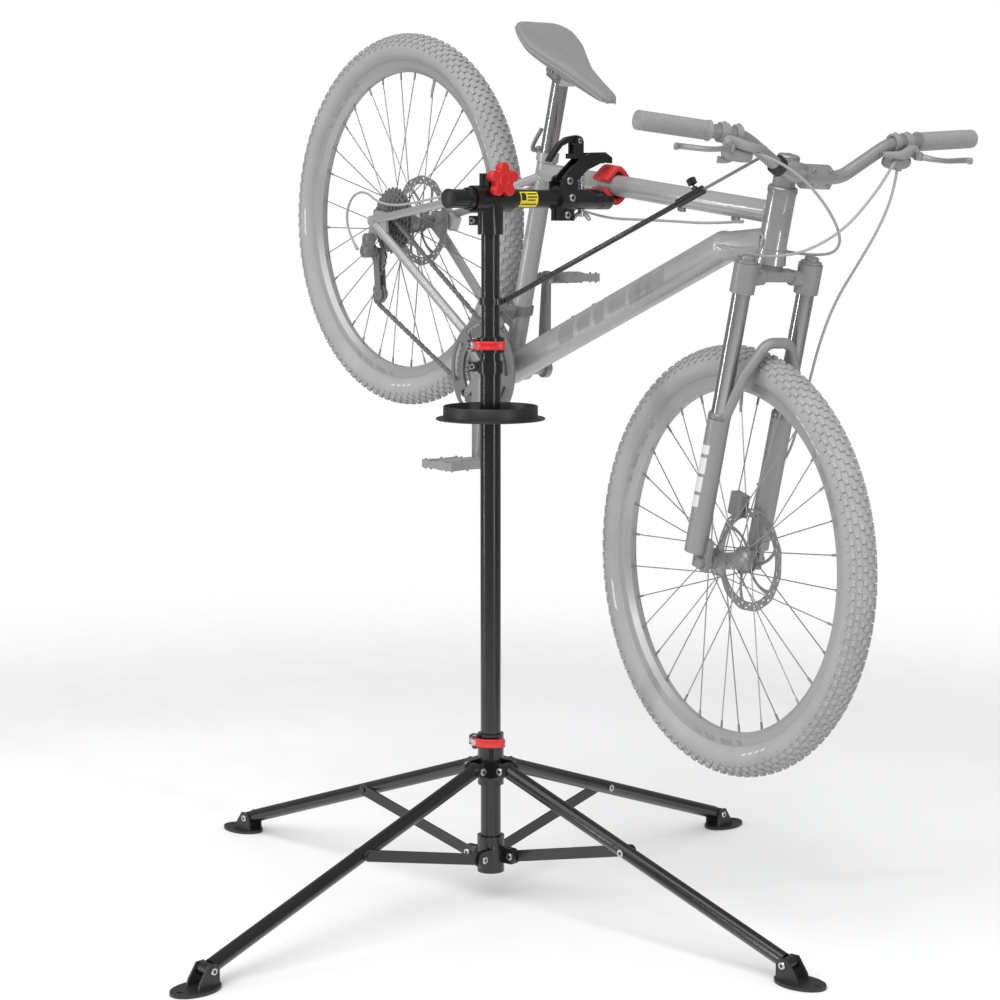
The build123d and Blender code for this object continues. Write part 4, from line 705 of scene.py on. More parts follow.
def refined(node: str, finish: Finish, bevel: float = 0.5, sharp: float = 34.0,
        name: str = "") -> bpy.types.Object:
    """Copy of a node's mesh with merged faces and softened edges, which stands for the node."""
    mesh = frame["nodes"][node].data.copy()
    tidy_mesh(mesh, sharp, True)
    obj = bpy.data.objects.new(name or f"{node}_finished", mesh)
    if bevel:
        add_bevel(obj, bevel, sharp)
    return finish_piece(obj, BODY_OF[node], finish, [node])


# ------------------------------------------------------------------ wheels
@dataclass
class Wheel:
    """One wheel: tyre with tread blocks, rim, spokes, hub and brake disc."""

    prefix: str
    body: str
    axes: Axes
    right_flange: float
    half_hub: float
    tyre_radius: float = 368.0
    tyre_half: float = 27.0
    rim_half: float = 14.0
    rim_top: float = 315.0
    rim_inner: float = 292.0
    block_count: int = 104
    spoke_count: int = 32
    flange_radius: float = 24.0
    left_flange: float = 27.0
    disc_place: float = 41.0
    disc_radius: float = 90.0

    def casing(self, angle: Array) -> tuple[Array, Array]:
        """Casing section by the angle from the crown: along = half width sin, radius = middle + half
        height cos."""
        half = self.tyre_half - 1.0
        tall = (self.tyre_radius - 308.0) / 2 - 3.0
        middle = (self.tyre_radius + 308.0) / 2
        return half * np.sin(angle), middle + tall * np.cos(angle)

    def tyre(self) -> None:
        """Casing turned about the axle with bead lines, and rows of tread blocks standing on it."""
        shape = Shape()
        angle = np.linspace(-2.6, 2.6, 45)
        along, radius = self.casing(angle)
        ridge = 0.55 * np.exp(-((np.abs(angle) - 2.02) / 0.035) ** 2) + 0.4 * np.exp(-((np.abs(angle) - 1.62)
            / 0.03) ** 2)
        along = along + ridge * np.sign(angle)
        inside = np.column_stack([(radius - 338) * 0.88 + 338, along * 0.88])[::-1]
        profile = np.concatenate([np.column_stack([radius, along]), inside])
        shape.add(revolved(profile, self.axes, 160))
        rows = ((0.0, 0.0, 4.6, 3.6), (0.3, 0.5, 4.2, 3.4), (0.62, 0.0, 4.6, 3.4), (0.95, 0.5, 5.2, 3.2),
            (1.25, 0.0, 3.2, 2.4))
        turns = np.arange(self.block_count) * FULL_TURN / self.block_count
        for slope, stagger, half_long, half_wide in rows:
            for side in ((1,) if slope == 0 else (-1, 1)):
                tilt = side * slope
                spin = turns + (stagger + 0.08 * side) * FULL_TURN / self.block_count
                place, reach = self.casing(np.array([tilt]))
                height = 3.1 if slope < 1.2 else 2.2
                template = block_template(half_long, half_wide, height + 0.8, 0.7)
                shape.add(self.blocks(template, spin, place[0], reach[0] - 0.8, tilt))
        piece(f"{self.prefix}_tyre_tread", shape, self.body, TYRE_RUBBER,
            [f"{self.prefix}_tyre"], 38)
        marks = Shape()
        for start, length, count in ((0.9, 0.035, 5), (3.6, 0.05, 3), (5.2, 0.03, 4)):
            for step in range(count):
                for side in (-1, 1):
                    marks.add(self.side_mark(start + step * 0.055, length, side, 1.86, 2.0))
        piece(f"{self.prefix}_tyre_marks", marks, self.body, PALE_DECAL)

    def blocks(self, template: tuple[Array, list[Array]], spin: Array, along: float, reach: float,
               tilt: float) -> tuple[Array, list[Array]]:
        """Tread blocks of one row: each stands along the casing's normal, turned round the axle by its
        spin."""
        a = self.axes
        out = np.cos(spin)[:, None] * a.x + np.sin(spin)[:, None] * a.z
        round_way = -np.sin(spin)[:, None] * a.x + np.cos(spin)[:, None] * a.z
        normal = out * math.cos(tilt) + a.y * math.sin(tilt)
        across = a.y * math.cos(tilt) - out * math.sin(tilt)
        origins = a.origin + out * reach * MM + a.y * along * MM
        bases = np.stack([round_way, across, normal], 1)
        return repeated(*template, origins, bases)

    def side_mark(self, start: float, length: float, side: int, low: float, high: float) -> tuple[Array,
            list[Array]]:
        """Thin plain patch lying on the tyre's side between two casing angles, skewed like a
        parallelogram."""
        turn = np.linspace(start, start + length, 6)
        rise = np.linspace(low, high, 4)
        angle = side * rise[None]
        along, radius = self.casing(np.repeat(angle, 6, 0))
        t = turn[:, None] + 0.02 * np.linspace(0, 1, 4)[None]

        def skin(lift: float) -> Array:
            """Patch points at a height over the casing."""
            r = (radius + lift * np.cos(angle)) * MM
            y = (along + lift * np.sin(angle)) * MM
            return self.axes.at(np.stack([r * np.cos(t), y, r * np.sin(t)], -1))

        return slab(skin(0.35), skin(-0.3), np.ones((5, 3), bool), False)

    def rim(self) -> None:
        """Rim section turned about the axle, valve and plain side marks."""
        half, top, inner = self.rim_half, self.rim_top, self.rim_inner
        profile = [(top, -half), (top + 0.6, -half + 1), (top - 1, -half + 2), (top - 9, -half + 2.4),
                   (top - 10.5, 0), (top - 9, half - 2.4), (top - 1, half - 2), (top + 0.6, half - 1),
                   (top, half),
                   (top - 11, half), (top - 14, half - 0.7), (inner + 2, 6.2), (inner + 0.3, 4.6), (inner, 0),
                   (inner + 0.3, -4.6), (inner + 2, -6.2), (top - 14, -half + 0.7), (top - 11, -half)]
        shape = Shape().add(revolved(profile, self.axes, 160))
        stem = self.axes.spun(-math.radians(100))
        shape.add(revolved([(0, 0), (3, 0), (3, 26), (2.2, 27), (2.2, 38), (0, 38)],
                           Axes(stem.at(np.array([inner + 2, 0, 0]) * MM), stem.y, -stem.x, stem.z), 14))
        piece(f"{self.prefix}_rim_ring", shape, self.body, RIM_METAL, [f"{self.prefix}_rim"],
            30)
        marks = Shape()
        for start in (0.55, 2.6, 4.75):
            for step in range(6):
                for side in (-1, 1):
                    turn = start + step * 0.075 + 0.02 * (step % 2)
                    marks.add(self.rim_mark(turn, 0.052 - 0.006 * (step % 3), side))
        piece(f"{self.prefix}_rim_marks", marks, self.body, FRAME_DECAL)

    def rim_mark(self, start: float, length: float, side: int) -> tuple[Array, list[Array]]:
        """Thin plain slanted block on the flat side of the rim."""
        turn = np.linspace(start, start + length, 5)[:, None]
        r = np.linspace(self.rim_top - 11, self.rim_top - 2.5, 3)[None]
        t = turn + (r - self.rim_top) * 0.0022

        def skin(y: float) -> Array:
            """Patch points at a distance along the axle."""
            return self.axes.at(np.stack([r * np.cos(t) * MM, np.full_like(t, y * MM), r * np.sin(t) * MM],
                -1))

        return slab(skin(side * (self.rim_half + 0.25)), skin(side * (self.rim_half - 0.3)),
            np.ones((4, 2), bool), False)

    def spokes(self) -> None:
        """Crossing spokes from the two flanges to the rim, with their nipples, each a thin round bar."""
        shape = Shape()
        index = np.arange(self.spoke_count)
        side = np.where(index % 2 == 0, -1, 1)
        lead = np.where((index // 2) % 2 == 1, 1, -1)
        at_rim = index * FULL_TURN / self.spoke_count
        at_hub = at_rim + math.radians(62) * lead
        flange = np.where(side > 0, self.left_flange, -self.right_flange) + 1.8 * lead
        hub_r = self.flange_radius - 2.6
        start = np.stack([hub_r * np.cos(at_hub), flange, hub_r * np.sin(at_hub)], -1) * MM
        end = np.stack([(self.rim_inner + 1) * np.cos(at_rim), side * 2.5,
            (self.rim_inner + 1) * np.sin(at_rim)], -1) * MM
        for one, two in zip(self.axes.at(start), self.axes.at(end)):
            shape.add(bar(one, two, circle(1.05, 8)))
            shape.add(bar(two + (one - two) * 0.05, two, circle(2.1, 8)))
            lip = unit(self.axes.y) * 1.6 * MM
            shape.add(bar(one - lip, one + lip, circle(1.9, 8)))
        piece(f"{self.prefix}_spokes", shape, self.body, SPOKE_METAL, (), 40)

    def hub(self) -> None:
        """Hub shell, flanges and axle ends turned about the axle."""
        left, right, half = self.left_flange, self.right_flange, self.half_hub
        f = self.flange_radius
        profile = [(5.2, -half), (9, -half), (9.5, -half + 6), (12, -half + 7), (12, -right - 6),
            (15, -right - 5),
                   (f - 3, -right - 2.2), (f, -right - 1.2), (f, -right + 1.2), (f - 4, -right + 2.4),
                   (17, -right + 6), (14.5, -right + 12), (14.5, left - 12), (17, left - 6),
                   (f - 4, left - 2.4),
                   (f, left - 1.2), (f, left + 1.2), (f - 3, left + 2.2), (19, left + 5),
                   (19, self.disc_place - 1.5),
                   (15, self.disc_place + 2), (10, half - 3), (9, half), (5.2, half)]
        shape = Shape().add(revolved(profile, self.axes, 48))
        piece(f"{self.prefix}_hub_shell", shape, self.body, PART_METAL, [f"{self.prefix}_hub"],
            30)

    def disc(self) -> None:
        """Brake disc: a drilled band with a wavy edge and six curved arms, 2 mm thick."""
        shape = Shape()
        count = 216
        t = np.arange(count) * FULL_TURN / count
        radius = self.disc_radius - 1.0 + 0.9 * np.cos(12 * t)
        keep = np.ones((count, 5), bool)
        step = np.arange(count)
        keep[:, 1] = (step % 9) > 2
        keep[:, 3] = ((step + 4) % 9) > 2
        low, high = self.disc_place - 1, self.disc_place + 1
        shape.add(washer_ring(radius, 73.0, low, high, self.axes, keep, (0.2, 0.4, 0.6, 0.8)))
        for arm in range(6):
            share = np.linspace(0, 1, 14)
            turn = arm * FULL_TURN / 6 + 0.55 * share
            reach = 17 + 57.5 * share
            path = np.stack([reach * np.cos(turn), np.full(14, self.disc_place), reach * np.sin(turn)],
                -1) * MM
            width = 1.15 - 0.45 * np.sin(share * math.pi)
            shape.add(carried(self.axes.at(path), rounded(7.5, 1.9, 0.5, 2),
                              np.column_stack([width, np.ones(14)]), False, self.axes.y))
        shape.add(revolved([(14, low), (23, low), (23, high), (14, high)], self.axes, 48))
        for bolt in range(6):
            turn = (bolt + 0.4) * FULL_TURN / 6
            place = self.axes.mm(19.5 * math.cos(turn), high, 19.5 * math.sin(turn))
            shape.add_bolt(place, self.axes.y, 2.6, 1.8)
        piece(f"{self.prefix}_brake_disc", shape, self.body, PART_METAL, (), 34)

    def build(self) -> None:
        """Builds every piece of the wheel."""
        self.tyre()
        self.rim()
        self.spokes()
        self.hub()
        self.disc()


def build_wheels() -> None:
    """Both wheels about their axles."""
    rear = Wheel("rear", "rear_wheel", BIKE, 19.0, 67.6)
    front_place = joint_point("front_wheel_spin")
    front = Wheel("front", "front_wheel", Axes(front_place, STEER.x, STEER.y, STEER.z), 27.0, 49.1)
    rear.build()
    front.build()


# ------------------------------------------------------------------ drivetrain
@dataclass
class Drivetrain:
    """Chain, sprockets, cranks, pedals and derailleurs."""

    chain_side: float = -57.0
    ring_teeth: int = 32
    cog_teeth: int = 13
    crank_length: float = 172.0
    crank_angle: float = math.radians(61.1)
    pulley_radius: float = 22.3
    upper_pulley: tuple[float, float] = (28.0, -66.0)
    lower_pulley: tuple[float, float] = (72.0, -126.0)
    pitch: float = 12.7
    sprockets: tuple[int, ...] = (15, 17, 19, 21, 24, 28, 32)
    sprocket_step: float = 4.35

    def __post_init__(self) -> None:
        """Works out the crank's axes from the joints."""
        self.bottom = Axes(joint_point("crank_spin"), BIKE.x, BIKE.y, BIKE.z)
        self.crank = self.bottom.spun(self.crank_angle)
        offset = self.bottom.origin - BIKE.origin
        self.bottom_place = (float(offset @ BIKE.x) / MM, float(offset @ BIKE.z) / MM)

    def loop(self) -> Array:
        """Pitch line of the chain: arcs on four wheels joined by their tangents, in bicycle millimetres."""
        wheels = [(self.bottom_place, self.ring_teeth * self.pitch / FULL_TURN, 1),
                  ((0.0, 0.0), self.cog_teeth * self.pitch / FULL_TURN, 1),
                  (self.upper_pulley, self.pulley_radius, -1), (self.lower_pulley, self.pulley_radius, 1)]
        runs = [self.tangent(wheels[k], wheels[(k + 1) % 4]) for k in range(4)]
        parts = []
        for k in range(4):
            (cx, cz), radius, sense = wheels[(k + 1) % 4]
            arrive, leave = runs[k][1], runs[(k + 1) % 4][0]
            first = math.atan2(arrive[1] - cz, arrive[0] - cx)
            last = math.atan2(leave[1] - cz, leave[0] - cx)
            turn = first + sense * np.linspace(0, (last - first) * sense % FULL_TURN, 60)
            parts.append(np.column_stack([cx + radius * np.cos(turn), cz + radius * np.sin(turn)]))
        return np.concatenate(parts)

    @staticmethod
    def tangent(first: tuple, second: tuple) -> tuple[Array, Array]:
        """Ends of the straight run between two wheels, each a centre, a radius and a sense."""
        (x1, z1), r1, s1 = first
        (x2, z2), r2, s2 = second
        distance = math.hypot(x2 - x1, z2 - z1)
        angle = math.atan2(z2 - z1, x2 - x1) - math.acos((s1 * r1 - s2 * r2) / distance)
        way = np.array([math.cos(angle), math.sin(angle)])
        return np.array([x1, z1]) + s1 * r1 * way, np.array([x2, z2]) + s2 * r2 * way

    def chain(self) -> None:
        """Links spaced by arc length along the pitch line: two waisted plates and a roller for each."""
        line = self.loop()
        closed = np.vstack([line, line[:1]])
        length = np.concatenate([[0], np.cumsum(np.linalg.norm(np.diff(closed, axis=0), axis=1))])
        links = 2 * round(length[-1] / self.pitch / 2)
        stations = np.arange(links) * length[-1] / links
        pins = np.column_stack([np.interp(stations, length, closed[:, axis]) for axis in (0, 1)])
        after = np.roll(pins, -1, 0)
        way = (after - pins) / np.linalg.norm(after - pins, axis=1, keepdims=True)
        along = way[:, :1] * BIKE.x + way[:, 1:] * BIKE.z
        up = -way[:, 1:] * BIKE.x + way[:, :1] * BIKE.z
        side = np.repeat(BIKE.y[None], links, 0)
        origins = BIKE.at(np.column_stack([pins[:, 0], np.full(links, self.chain_side), pins[:, 1]]) * MM)
        bases = np.stack([along, side, up], 1)
        shape = Shape()
        for sign in (-1, 1):
            for parity, place in ((0, 2.55), (1, 1.55)):
                shape.add(repeated(*self.link_plate(sign * place), origins[parity::2], bases[parity::2]))
        roller = revolved([(0, -3.2), (1.8, -3.2), (1.8, -1.4), (3.8, -1.2), (3.8, 1.2), (1.8, 1.4),
            (1.8, 3.2), (0, 3.2)],
                          Axes(np.zeros(3), *np.eye(3)), 10)
        shape.add(repeated(*roller, origins, bases))
        piece("chain_links", shape, "clamp_arm", CHAIN_METAL, ["chain"], 36)

    def link_plate(self, side: float) -> tuple[Array, list[Array]]:
        """One plate with round ends and a waist: half height = end radius less a dip in the middle."""
        t = np.linspace(0, 1, 9)
        x = -4.0 + (self.pitch + 8.0) * (1 - np.cos(t * math.pi)) / 2
        inside = np.minimum(x + 4.0, self.pitch + 4.0 - x)
        half = np.sqrt(np.maximum(16.0 - np.maximum(4.0 - inside, 0) ** 2, 0.4))
        waist = 1.1 * np.exp(-((x - self.pitch / 2) / 2.6) ** 2)
        rim = np.concatenate([np.column_stack([x, half - waist]), np.column_stack([x, waist - half])[::-1]])
        count = len(rim)
        low = np.column_stack([rim[:, 0], np.full(count, side - 0.45), rim[:, 1]])
        high = low + [0, 0.9, 0]
        ring = np.arange(count)[None]
        return np.concatenate([low, high]) * MM, [grid_faces(2, count, False, True), ring, ring + count]

    def cassette(self) -> None:
        """Toothed sprockets of rising size with drilled webs, on a carrier, and a lock ring."""
        axes = BIKE
        shape = Shape()
        shape.add(washer_ring(toothed(self.cog_teeth, 8, 1.5) - 4.4, 8.4, self.chain_side - 0.9,
            self.chain_side + 0.9, axes))
        place = self.chain_side + 4.4
        for teeth in self.sprockets:
            radius = toothed(teeth, 8, 2.0)
            count = len(radius)
            keep = np.ones((count, 4), bool)
            if teeth > 19:
                keep[:, 1] = (np.arange(count) % (count // 8)) > count // 20
            shape.add(washer_ring(radius, 8.4, place - 0.9, place + 0.9, axes, keep, (0.42, 0.72, 0.86)))
            place += self.sprocket_step
        shape.add(revolved([(8.3, self.chain_side - 4), (14, self.chain_side - 4), (17, self.chain_side - 1),
                            (17, place - 4.3), (8.3, place - 4.3)], axes, 36))
        piece("cassette_sprockets", shape, "cassette", CHAIN_METAL, ["cassette"], 30)

    def cranks(self) -> None:
        """Three chainrings with teeth, spider, guard ring with windows, and two tapered arms on the
        spindle."""
        rings = Shape()
        shape = Shape()
        for teeth, place, inner in ((22, -49.6, 30), (self.ring_teeth, self.chain_side, 40), (42, -64.1, 62)):
            radius = toothed(teeth, 8, 1.9)
            if teeth == self.ring_teeth:
                radius = radius - 4.3
            rings.add(washer_ring(radius, inner, place - 0.9, place + 0.9, self.crank, None, (0.5,)))
        piece("chainrings", rings, "crankset", CHAIN_METAL, (), 28)
        count = 180
        keep = np.ones((count, 4), bool)
        keep[:, 1] = (np.arange(count) % 36) < 8
        keep[:, 2] = (np.arange(count) % 36) < 10
        guard = Shape().add(washer_ring(np.full(count, 97.5), 62.0, -70.0, -67.4, self.crank, keep,
            (0.16, 0.5, 0.78)))
        piece("chain_guard", guard, "crankset", DARK_METAL, (), 30)
        for arm in range(4):
            spin = self.crank.spun(math.radians(45 + 90 * arm))
            share = np.linspace(0, 1, 8)
            path = spin.at(np.column_stack([(10 + 56 * share), -71 + 1.5 * share, np.zeros(8)]) * MM)
            shape.add(carried(path, rounded(17, 7, 2), np.column_stack([1.25 - 0.5 * share, np.ones(8)]),
                False, self.crank.y))
            shape.add_bolt(spin.mm(64, -72.5, 0), -self.crank.y, 5.2, 2.4)
            shape.add(revolved([(0, -66), (5, -66), (5, -49), (0, -49)], spin.moved(43, 0, 0), 16))
        shape.add(revolved([(0, -86.5), (8, -86.5), (9, -85.5), (12, -85), (12, 84), (9, 85), (8, 86.5),
            (0, 86.5)], self.crank, 32))
        for side, low, high in ((1, -86, -74), (-1, 74, 86)):
            middle = (low + high) / 2
            share = np.linspace(0, 1, 24)
            reach = side * self.crank_length * share
            path = self.crank.at(np.column_stack([reach, middle + 1.2 * np.sin(share * math.pi) * side,
                np.zeros(24)]) * MM)
            width = 1.25 - 0.5 * share + 0.06 * np.cos(share * math.pi)
            shape.add(carried(path, rounded(27, 12, 4.5), np.column_stack([width, np.ones(24)]), False,
                self.crank.y))
            shape.add(revolved([(0, low), (17.5, low), (19, low + 1.5), (19, high - 1.5), (17.5, high),
                (0, high)], self.crank, 40))
            eye = self.crank.moved(side * self.crank_length, 0, 0)
            shape.add(revolved([(6.2, low), (12, low), (13.5, low + 1.5), (13.5, high - 1.5), (12, high),
                (6.2, high)], eye, 32))
            outer = low if side > 0 else high
            shape.add_bolt(self.crank.mm(0, outer, 0), self.crank.y * (-1 if side > 0 else 1), 8.0, 2.0)
        piece("crank_arms", shape, "crankset", PART_METAL, ["crankset"], 32)

    def pedals(self) -> None:
        """Both pedals, level with the floor."""
        for name, sign in (("right", -1), ("left", 1)):
            place = joint_point(f"pedal_{name}_spin")
            centre = BIKE.origin + BIKE.y * float((place - BIKE.origin) @ BIKE.y)
            level = Axes(place - BIKE.y * float((centre - BIKE.origin) @ BIKE.y), *np.eye(3))
            self.pedal(name, sign, level)

    def pedal(self, name: str, sign: int, level: Axes) -> None:
        """Platform with a waisted outline and windows, grip pins, bearing barrel and axle."""
        shape = Shape()
        across = np.linspace(92, 173, 10)
        share = np.linspace(-1, 1, 13)
        half_long = 47 - 3.5 * np.cos((across - 132) / 40 * math.pi / 2) ** 2
        x = share[:, None] * half_long[None]
        y = np.repeat(sign * across[None], 13, 0)
        dish = 6.6 + 1.2 * np.abs(share[:, None]) - 0.6 * np.cos((across[None] - 132) / 41 * math.pi / 2)
        keep = np.ones((12, 9), bool)
        keep[1:5, 1:4] = False
        keep[1:5, 5:8] = False
        keep[7:11, 1:4] = False
        keep[7:11, 5:8] = False
        top = level.at(np.stack([x, y, dish], -1) * MM)
        bottom = level.at(np.stack([x, y, -dish], -1) * MM)
        shape.add(slab(top, bottom, keep, False))
        barrel = [(0, 74.5), (6, 74.5), (6, 86), (9, 86.5), (9, 92), (11, 94), (11, 158), (8, 172), (0, 174)]
        side_axes = Axes(level.origin, level.x, sign * level.y, level.z * sign)
        shape.add(revolved(barrel, side_axes, 24))
        pins = np.array([[px, py] for px in (-41, -24, 24, 41) for py in (97, 132, 168)], float)
        pin, faces = block_template(1.6, 1.6, 3.0, 0.4)
        for up in (1, -1):
            origins = level.at(np.column_stack([pins[:, 0], sign * pins[:, 1], np.full(len(pins), up * 7.0)])
                * MM)
            basis = np.stack([level.x, level.y * up, level.z * up])
            shape.add(repeated(pin, faces, origins, np.repeat(basis[None], len(pins), 0)))
        piece(f"pedal_{name}_platform", shape, f"pedal_{name}", PART_PLASTIC,
            [f"pedal_{name}"], 34, 0.5)

    def derailleurs(self) -> None:
        """Cage, knuckle and front mechanism with softened edges, toothed pulleys and screws."""
        refined("derailleurs", DARK_METAL, 0.7)
        shape = Shape()
        for px, pz in (self.upper_pulley, self.lower_pulley):
            axes = BIKE.moved(px, 0, pz)
            count = 11 * 8
            radius = 17.6 + 1.0 * np.cos(np.arange(count) * FULL_TURN / 8)
            keep = np.ones((count, 3), bool)
            keep[:, 1] = (np.arange(count) % 16) > 6
            shape.add(washer_ring(radius, 4.5, self.chain_side - 1.6, self.chain_side + 1.6, axes, keep,
                (0.3, 0.7)))
            shape.add_bolt(BIKE.mm(px, self.chain_side - 8, pz), -BIKE.y, 4.4, 2.2)
        for bx, bz in ((14, -34), (20, -58)):
            shape.add_bolt(BIKE.mm(bx, -92, bz), -BIKE.y, 7.5, 2.0)
        piece("pulley_wheels", shape, "clamp_arm", CHAIN_METAL, (), 32)

    def build(self) -> None:
        """Builds the drivetrain."""
        self.chain()
        self.cassette()
        self.cranks()
        self.pedals()
        self.derailleurs()


# ------------------------------------------------------------------ frame
def seam(start: Array, end: Array, radius: float, other: Array, way: Array, other_radius: float,
        back: bool) -> Array:
    """Curve where a round tube meets a round post.

    Each line of the tube's skin, start + t times its direction, is cut where its distance from the post's
    axis is
    the post's radius, which is a quadratic in t.

    Args:
        start: a point on the tube's axis.
        end: another.
        radius: the tube's radius in millimetres.
        other: a point on the post's axis.
        way: direction of the post's axis.
        other_radius: the post's radius in millimetres.
        back: take the cut nearer to the start.

    Returns:
        Closed ring of points.
    """
    along = unit(end - start)
    side = unit(np.cross(along, way))
    over = np.cross(side, along)
    t = np.arange(96) * FULL_TURN / 96
    base = start + radius * MM * (np.cos(t)[:, None] * side + np.sin(t)[:, None] * over)
    gap = base - other
    gap = gap - (gap @ way)[:, None] * way
    speed = along - (along @ way) * way
    a = speed @ speed
    b = 2 * gap @ speed
    c = (gap ** 2).sum(1) - (other_radius * MM) ** 2
    root = np.sqrt(np.maximum(b * b - 4 * a * c, 0))
    return base + ((-b + (-root if back else root)) / (2 * a))[:, None] * along


@dataclass
class BikeFrame:
    """Painted tubes, weld beads, cable guides and plain marks."""

    head_radius: float = 23.5
    top_radius: float = 18.5
    down_radius: float = 26.0
    seat_radius: float = 17.8
    seat_angle: float = math.radians(74.4)
    bottom: tuple[float, float] = (442.0, -61.7)

    def seat_point(self, along: float) -> Array:
        """World point at a distance up the seat tube."""
        return BIKE.mm(self.bottom[0] - math.cos(self.seat_angle) * along, 0,
                       self.bottom[1] + math.sin(self.seat_angle) * along)

    def tubes(self) -> None:
        """Painted tubes with softened edges."""
        refined("head_tube", SHINY_PAINT, 0.8)
        for node in ("top_tube", "down_tube", "seat_tube", "rear_triangle"):
            refined(node, FRAME_PAINT, 0.6)

    def beads(self) -> None:
        """Rippled weld beads where the tubes meet, each a round bead carried along the joint's curve."""
        shape = Shape()
        head_way = STEER.z
        top_start, top_end = BIKE.mm(338.5, 0, 305), BIKE.mm(902, 0, 556)
        bend, down_end = BIKE.mm(822, 0, 442), BIKE.mm(912, 0, 505)
        seat_start = self.seat_point(0)
        seat_way = unit(self.seat_point(100) - seat_start)
        rings = [seam(top_start, top_end, self.top_radius, STEER.origin, head_way, self.head_radius, True),
                 seam(bend, down_end, self.down_radius, STEER.origin, head_way, self.head_radius, True),
                 seam(top_end, top_start, self.top_radius, seat_start, seat_way, self.seat_radius, True)]
        t = np.arange(96) * FULL_TURN / 96
        for ring in rings:
            ripple = 1 + 0.16 * np.cos(32 * t)
            shape.add(carried(ring, circle(2.3, 8), ripple, True, self.safe_guide(ring)))
        piece("weld_beads", shape, "clamp_arm", FRAME_PAINT, (), 60)

    @staticmethod
    def safe_guide(ring: Array) -> Array:
        """Direction across the ring, which no part of it follows."""
        centred = ring - ring.mean(0)
        return np.linalg.svd(centred)[2][2]

    def marks(self) -> None:
        """Plain slanted blocks on the down tube and the seat tube, lying on the skin."""
        shape = Shape()
        start, end = BIKE.mm(self.bottom[0], 0, self.bottom[1]), BIKE.mm(822, 0, 442)
        for side in (-1, 1):
            for step, (place, long) in enumerate(((0.3, 0.07), (0.39, 0.06), (0.47, 0.045), (0.54, 0.075),
                    (0.635, 0.05), (0.71, 0.08))):
                shape.add(self.tube_mark(start, end, 28.0, place, long, side, 0.42 if step % 2 else 0.55))
            shape.add(self.tube_mark(self.seat_point(0), self.seat_point(420), self.seat_radius, 0.62, 0.2,
                side, 0.4))
        piece("frame_marks", shape, "clamp_arm", FRAME_DECAL, (), 50)

    @staticmethod
    def tube_mark(start: Array, end: Array, radius: float, place: float, long: float, side: int,
                  half: float) -> tuple[Array, list[Array]]:
        """Skewed patch on a tube's side: angle about the tube by share of its length."""
        axis = end - start
        way = unit(axis)
        out = BIKE.y * side
        up = np.cross(way, out)
        s = np.linspace(place, place + long, 6)[:, None]
        angle = np.linspace(-half, half, 7)[None]
        centre = start + (s + 0.02 * angle * side)[..., None] * axis
        ray = np.cos(angle)[..., None] * out + np.sin(angle)[..., None] * up
        return slab(centre + ray * (radius + 0.3) * MM, centre + ray * (radius - 0.3) * MM,
            np.ones((5, 6), bool), False)

    def fittings(self) -> None:
        """Cable guides under the top tube, bottle bosses, head badge, collar bolt and headset cups."""
        shape = Shape()
        top_start, top_end = BIKE.mm(338.5, 0, 305), BIKE.mm(902, 0, 556)
        way = unit(top_end - top_start)
        down = unit(np.cross(BIKE.y, way)) * -1
        down = down if down @ BIKE.z < 0 else -down
        for share in (0.62, 0.84):
            place = top_start + (top_end - top_start) * share + down * (self.top_radius + 3) * MM
            shape.add(carried(np.stack([place - way * 0.008, place, place + way * 0.008]), rounded(9, 7, 2),
                [0.8, 1, 0.8], False, BIKE.y))
        dway = unit(BIKE.mm(822, 0, 442) - BIKE.mm(*[self.bottom[0], 0, self.bottom[1]]))
        dup = np.cross(dway, BIKE.y)
        dup = dup if dup @ BIKE.z > 0 else -dup
        for reach in (210, 274):
            place = BIKE.mm(self.bottom[0], 0, self.bottom[1]) + dway * reach * MM + dup * 27.6 * MM
            shape.add_bolt(place, dup, 4.5, 3.2)
        back = self.seat_point(412) + unit(BIKE.x) * -24 * MM
        shape.add_bolt(back + BIKE.y * 17 * MM, BIKE.y, 5.0, 3)
        lever = np.stack([back - BIKE.y * 0.018, back - BIKE.y * 0.022 + BIKE.z * 0.012,
            back - BIKE.y * 0.016 + BIKE.z * 0.045])
        shape.add(carried(smooth_path(lever, 12), rounded(9, 4, 1.6), 1.0, False, BIKE.x))
        piece("frame_fittings", shape, "clamp_arm", PART_METAL, (), 36)
        cups = Shape()
        post = Axes(STEER.origin, STEER.y, STEER.z, STEER.x)
        cups.add(revolved([(20, 128), (24.4, 128), (24.8, 130), (24.8, 136), (23, 138.4), (20, 138.4)], post,
            64))
        cups.add(revolved([(24, 34), (24.6, 34.5), (24.6, 36.5), (24, 37)], post, 64))
        piece("headset_cups", cups, "clamp_arm", PART_METAL, (), 36)
        badge = Shape()
        s = np.linspace(62, 104, 9)[:, None]
        width = 0.36 * np.sqrt(np.maximum(1 - ((s - 83) / 21.5) ** 2, 0.03))
        angle = width * np.linspace(-1, 1, 7)[None]
        ray = np.cos(angle)[..., None] * STEER.x + np.sin(angle)[..., None] * STEER.y
        centre = STEER.origin + (s * MM)[..., None] * STEER.z
        badge.add(slab(centre + ray * 24.5 * MM, centre + ray * 23.2 * MM, np.ones((8, 6), bool), False))
        piece("head_badge", badge, "clamp_arm", FRAME_DECAL, (), 50)

    def build(self) -> None:
        """Builds the frame."""
        self.tubes()
        self.beads()
        self.marks()
        self.fittings()


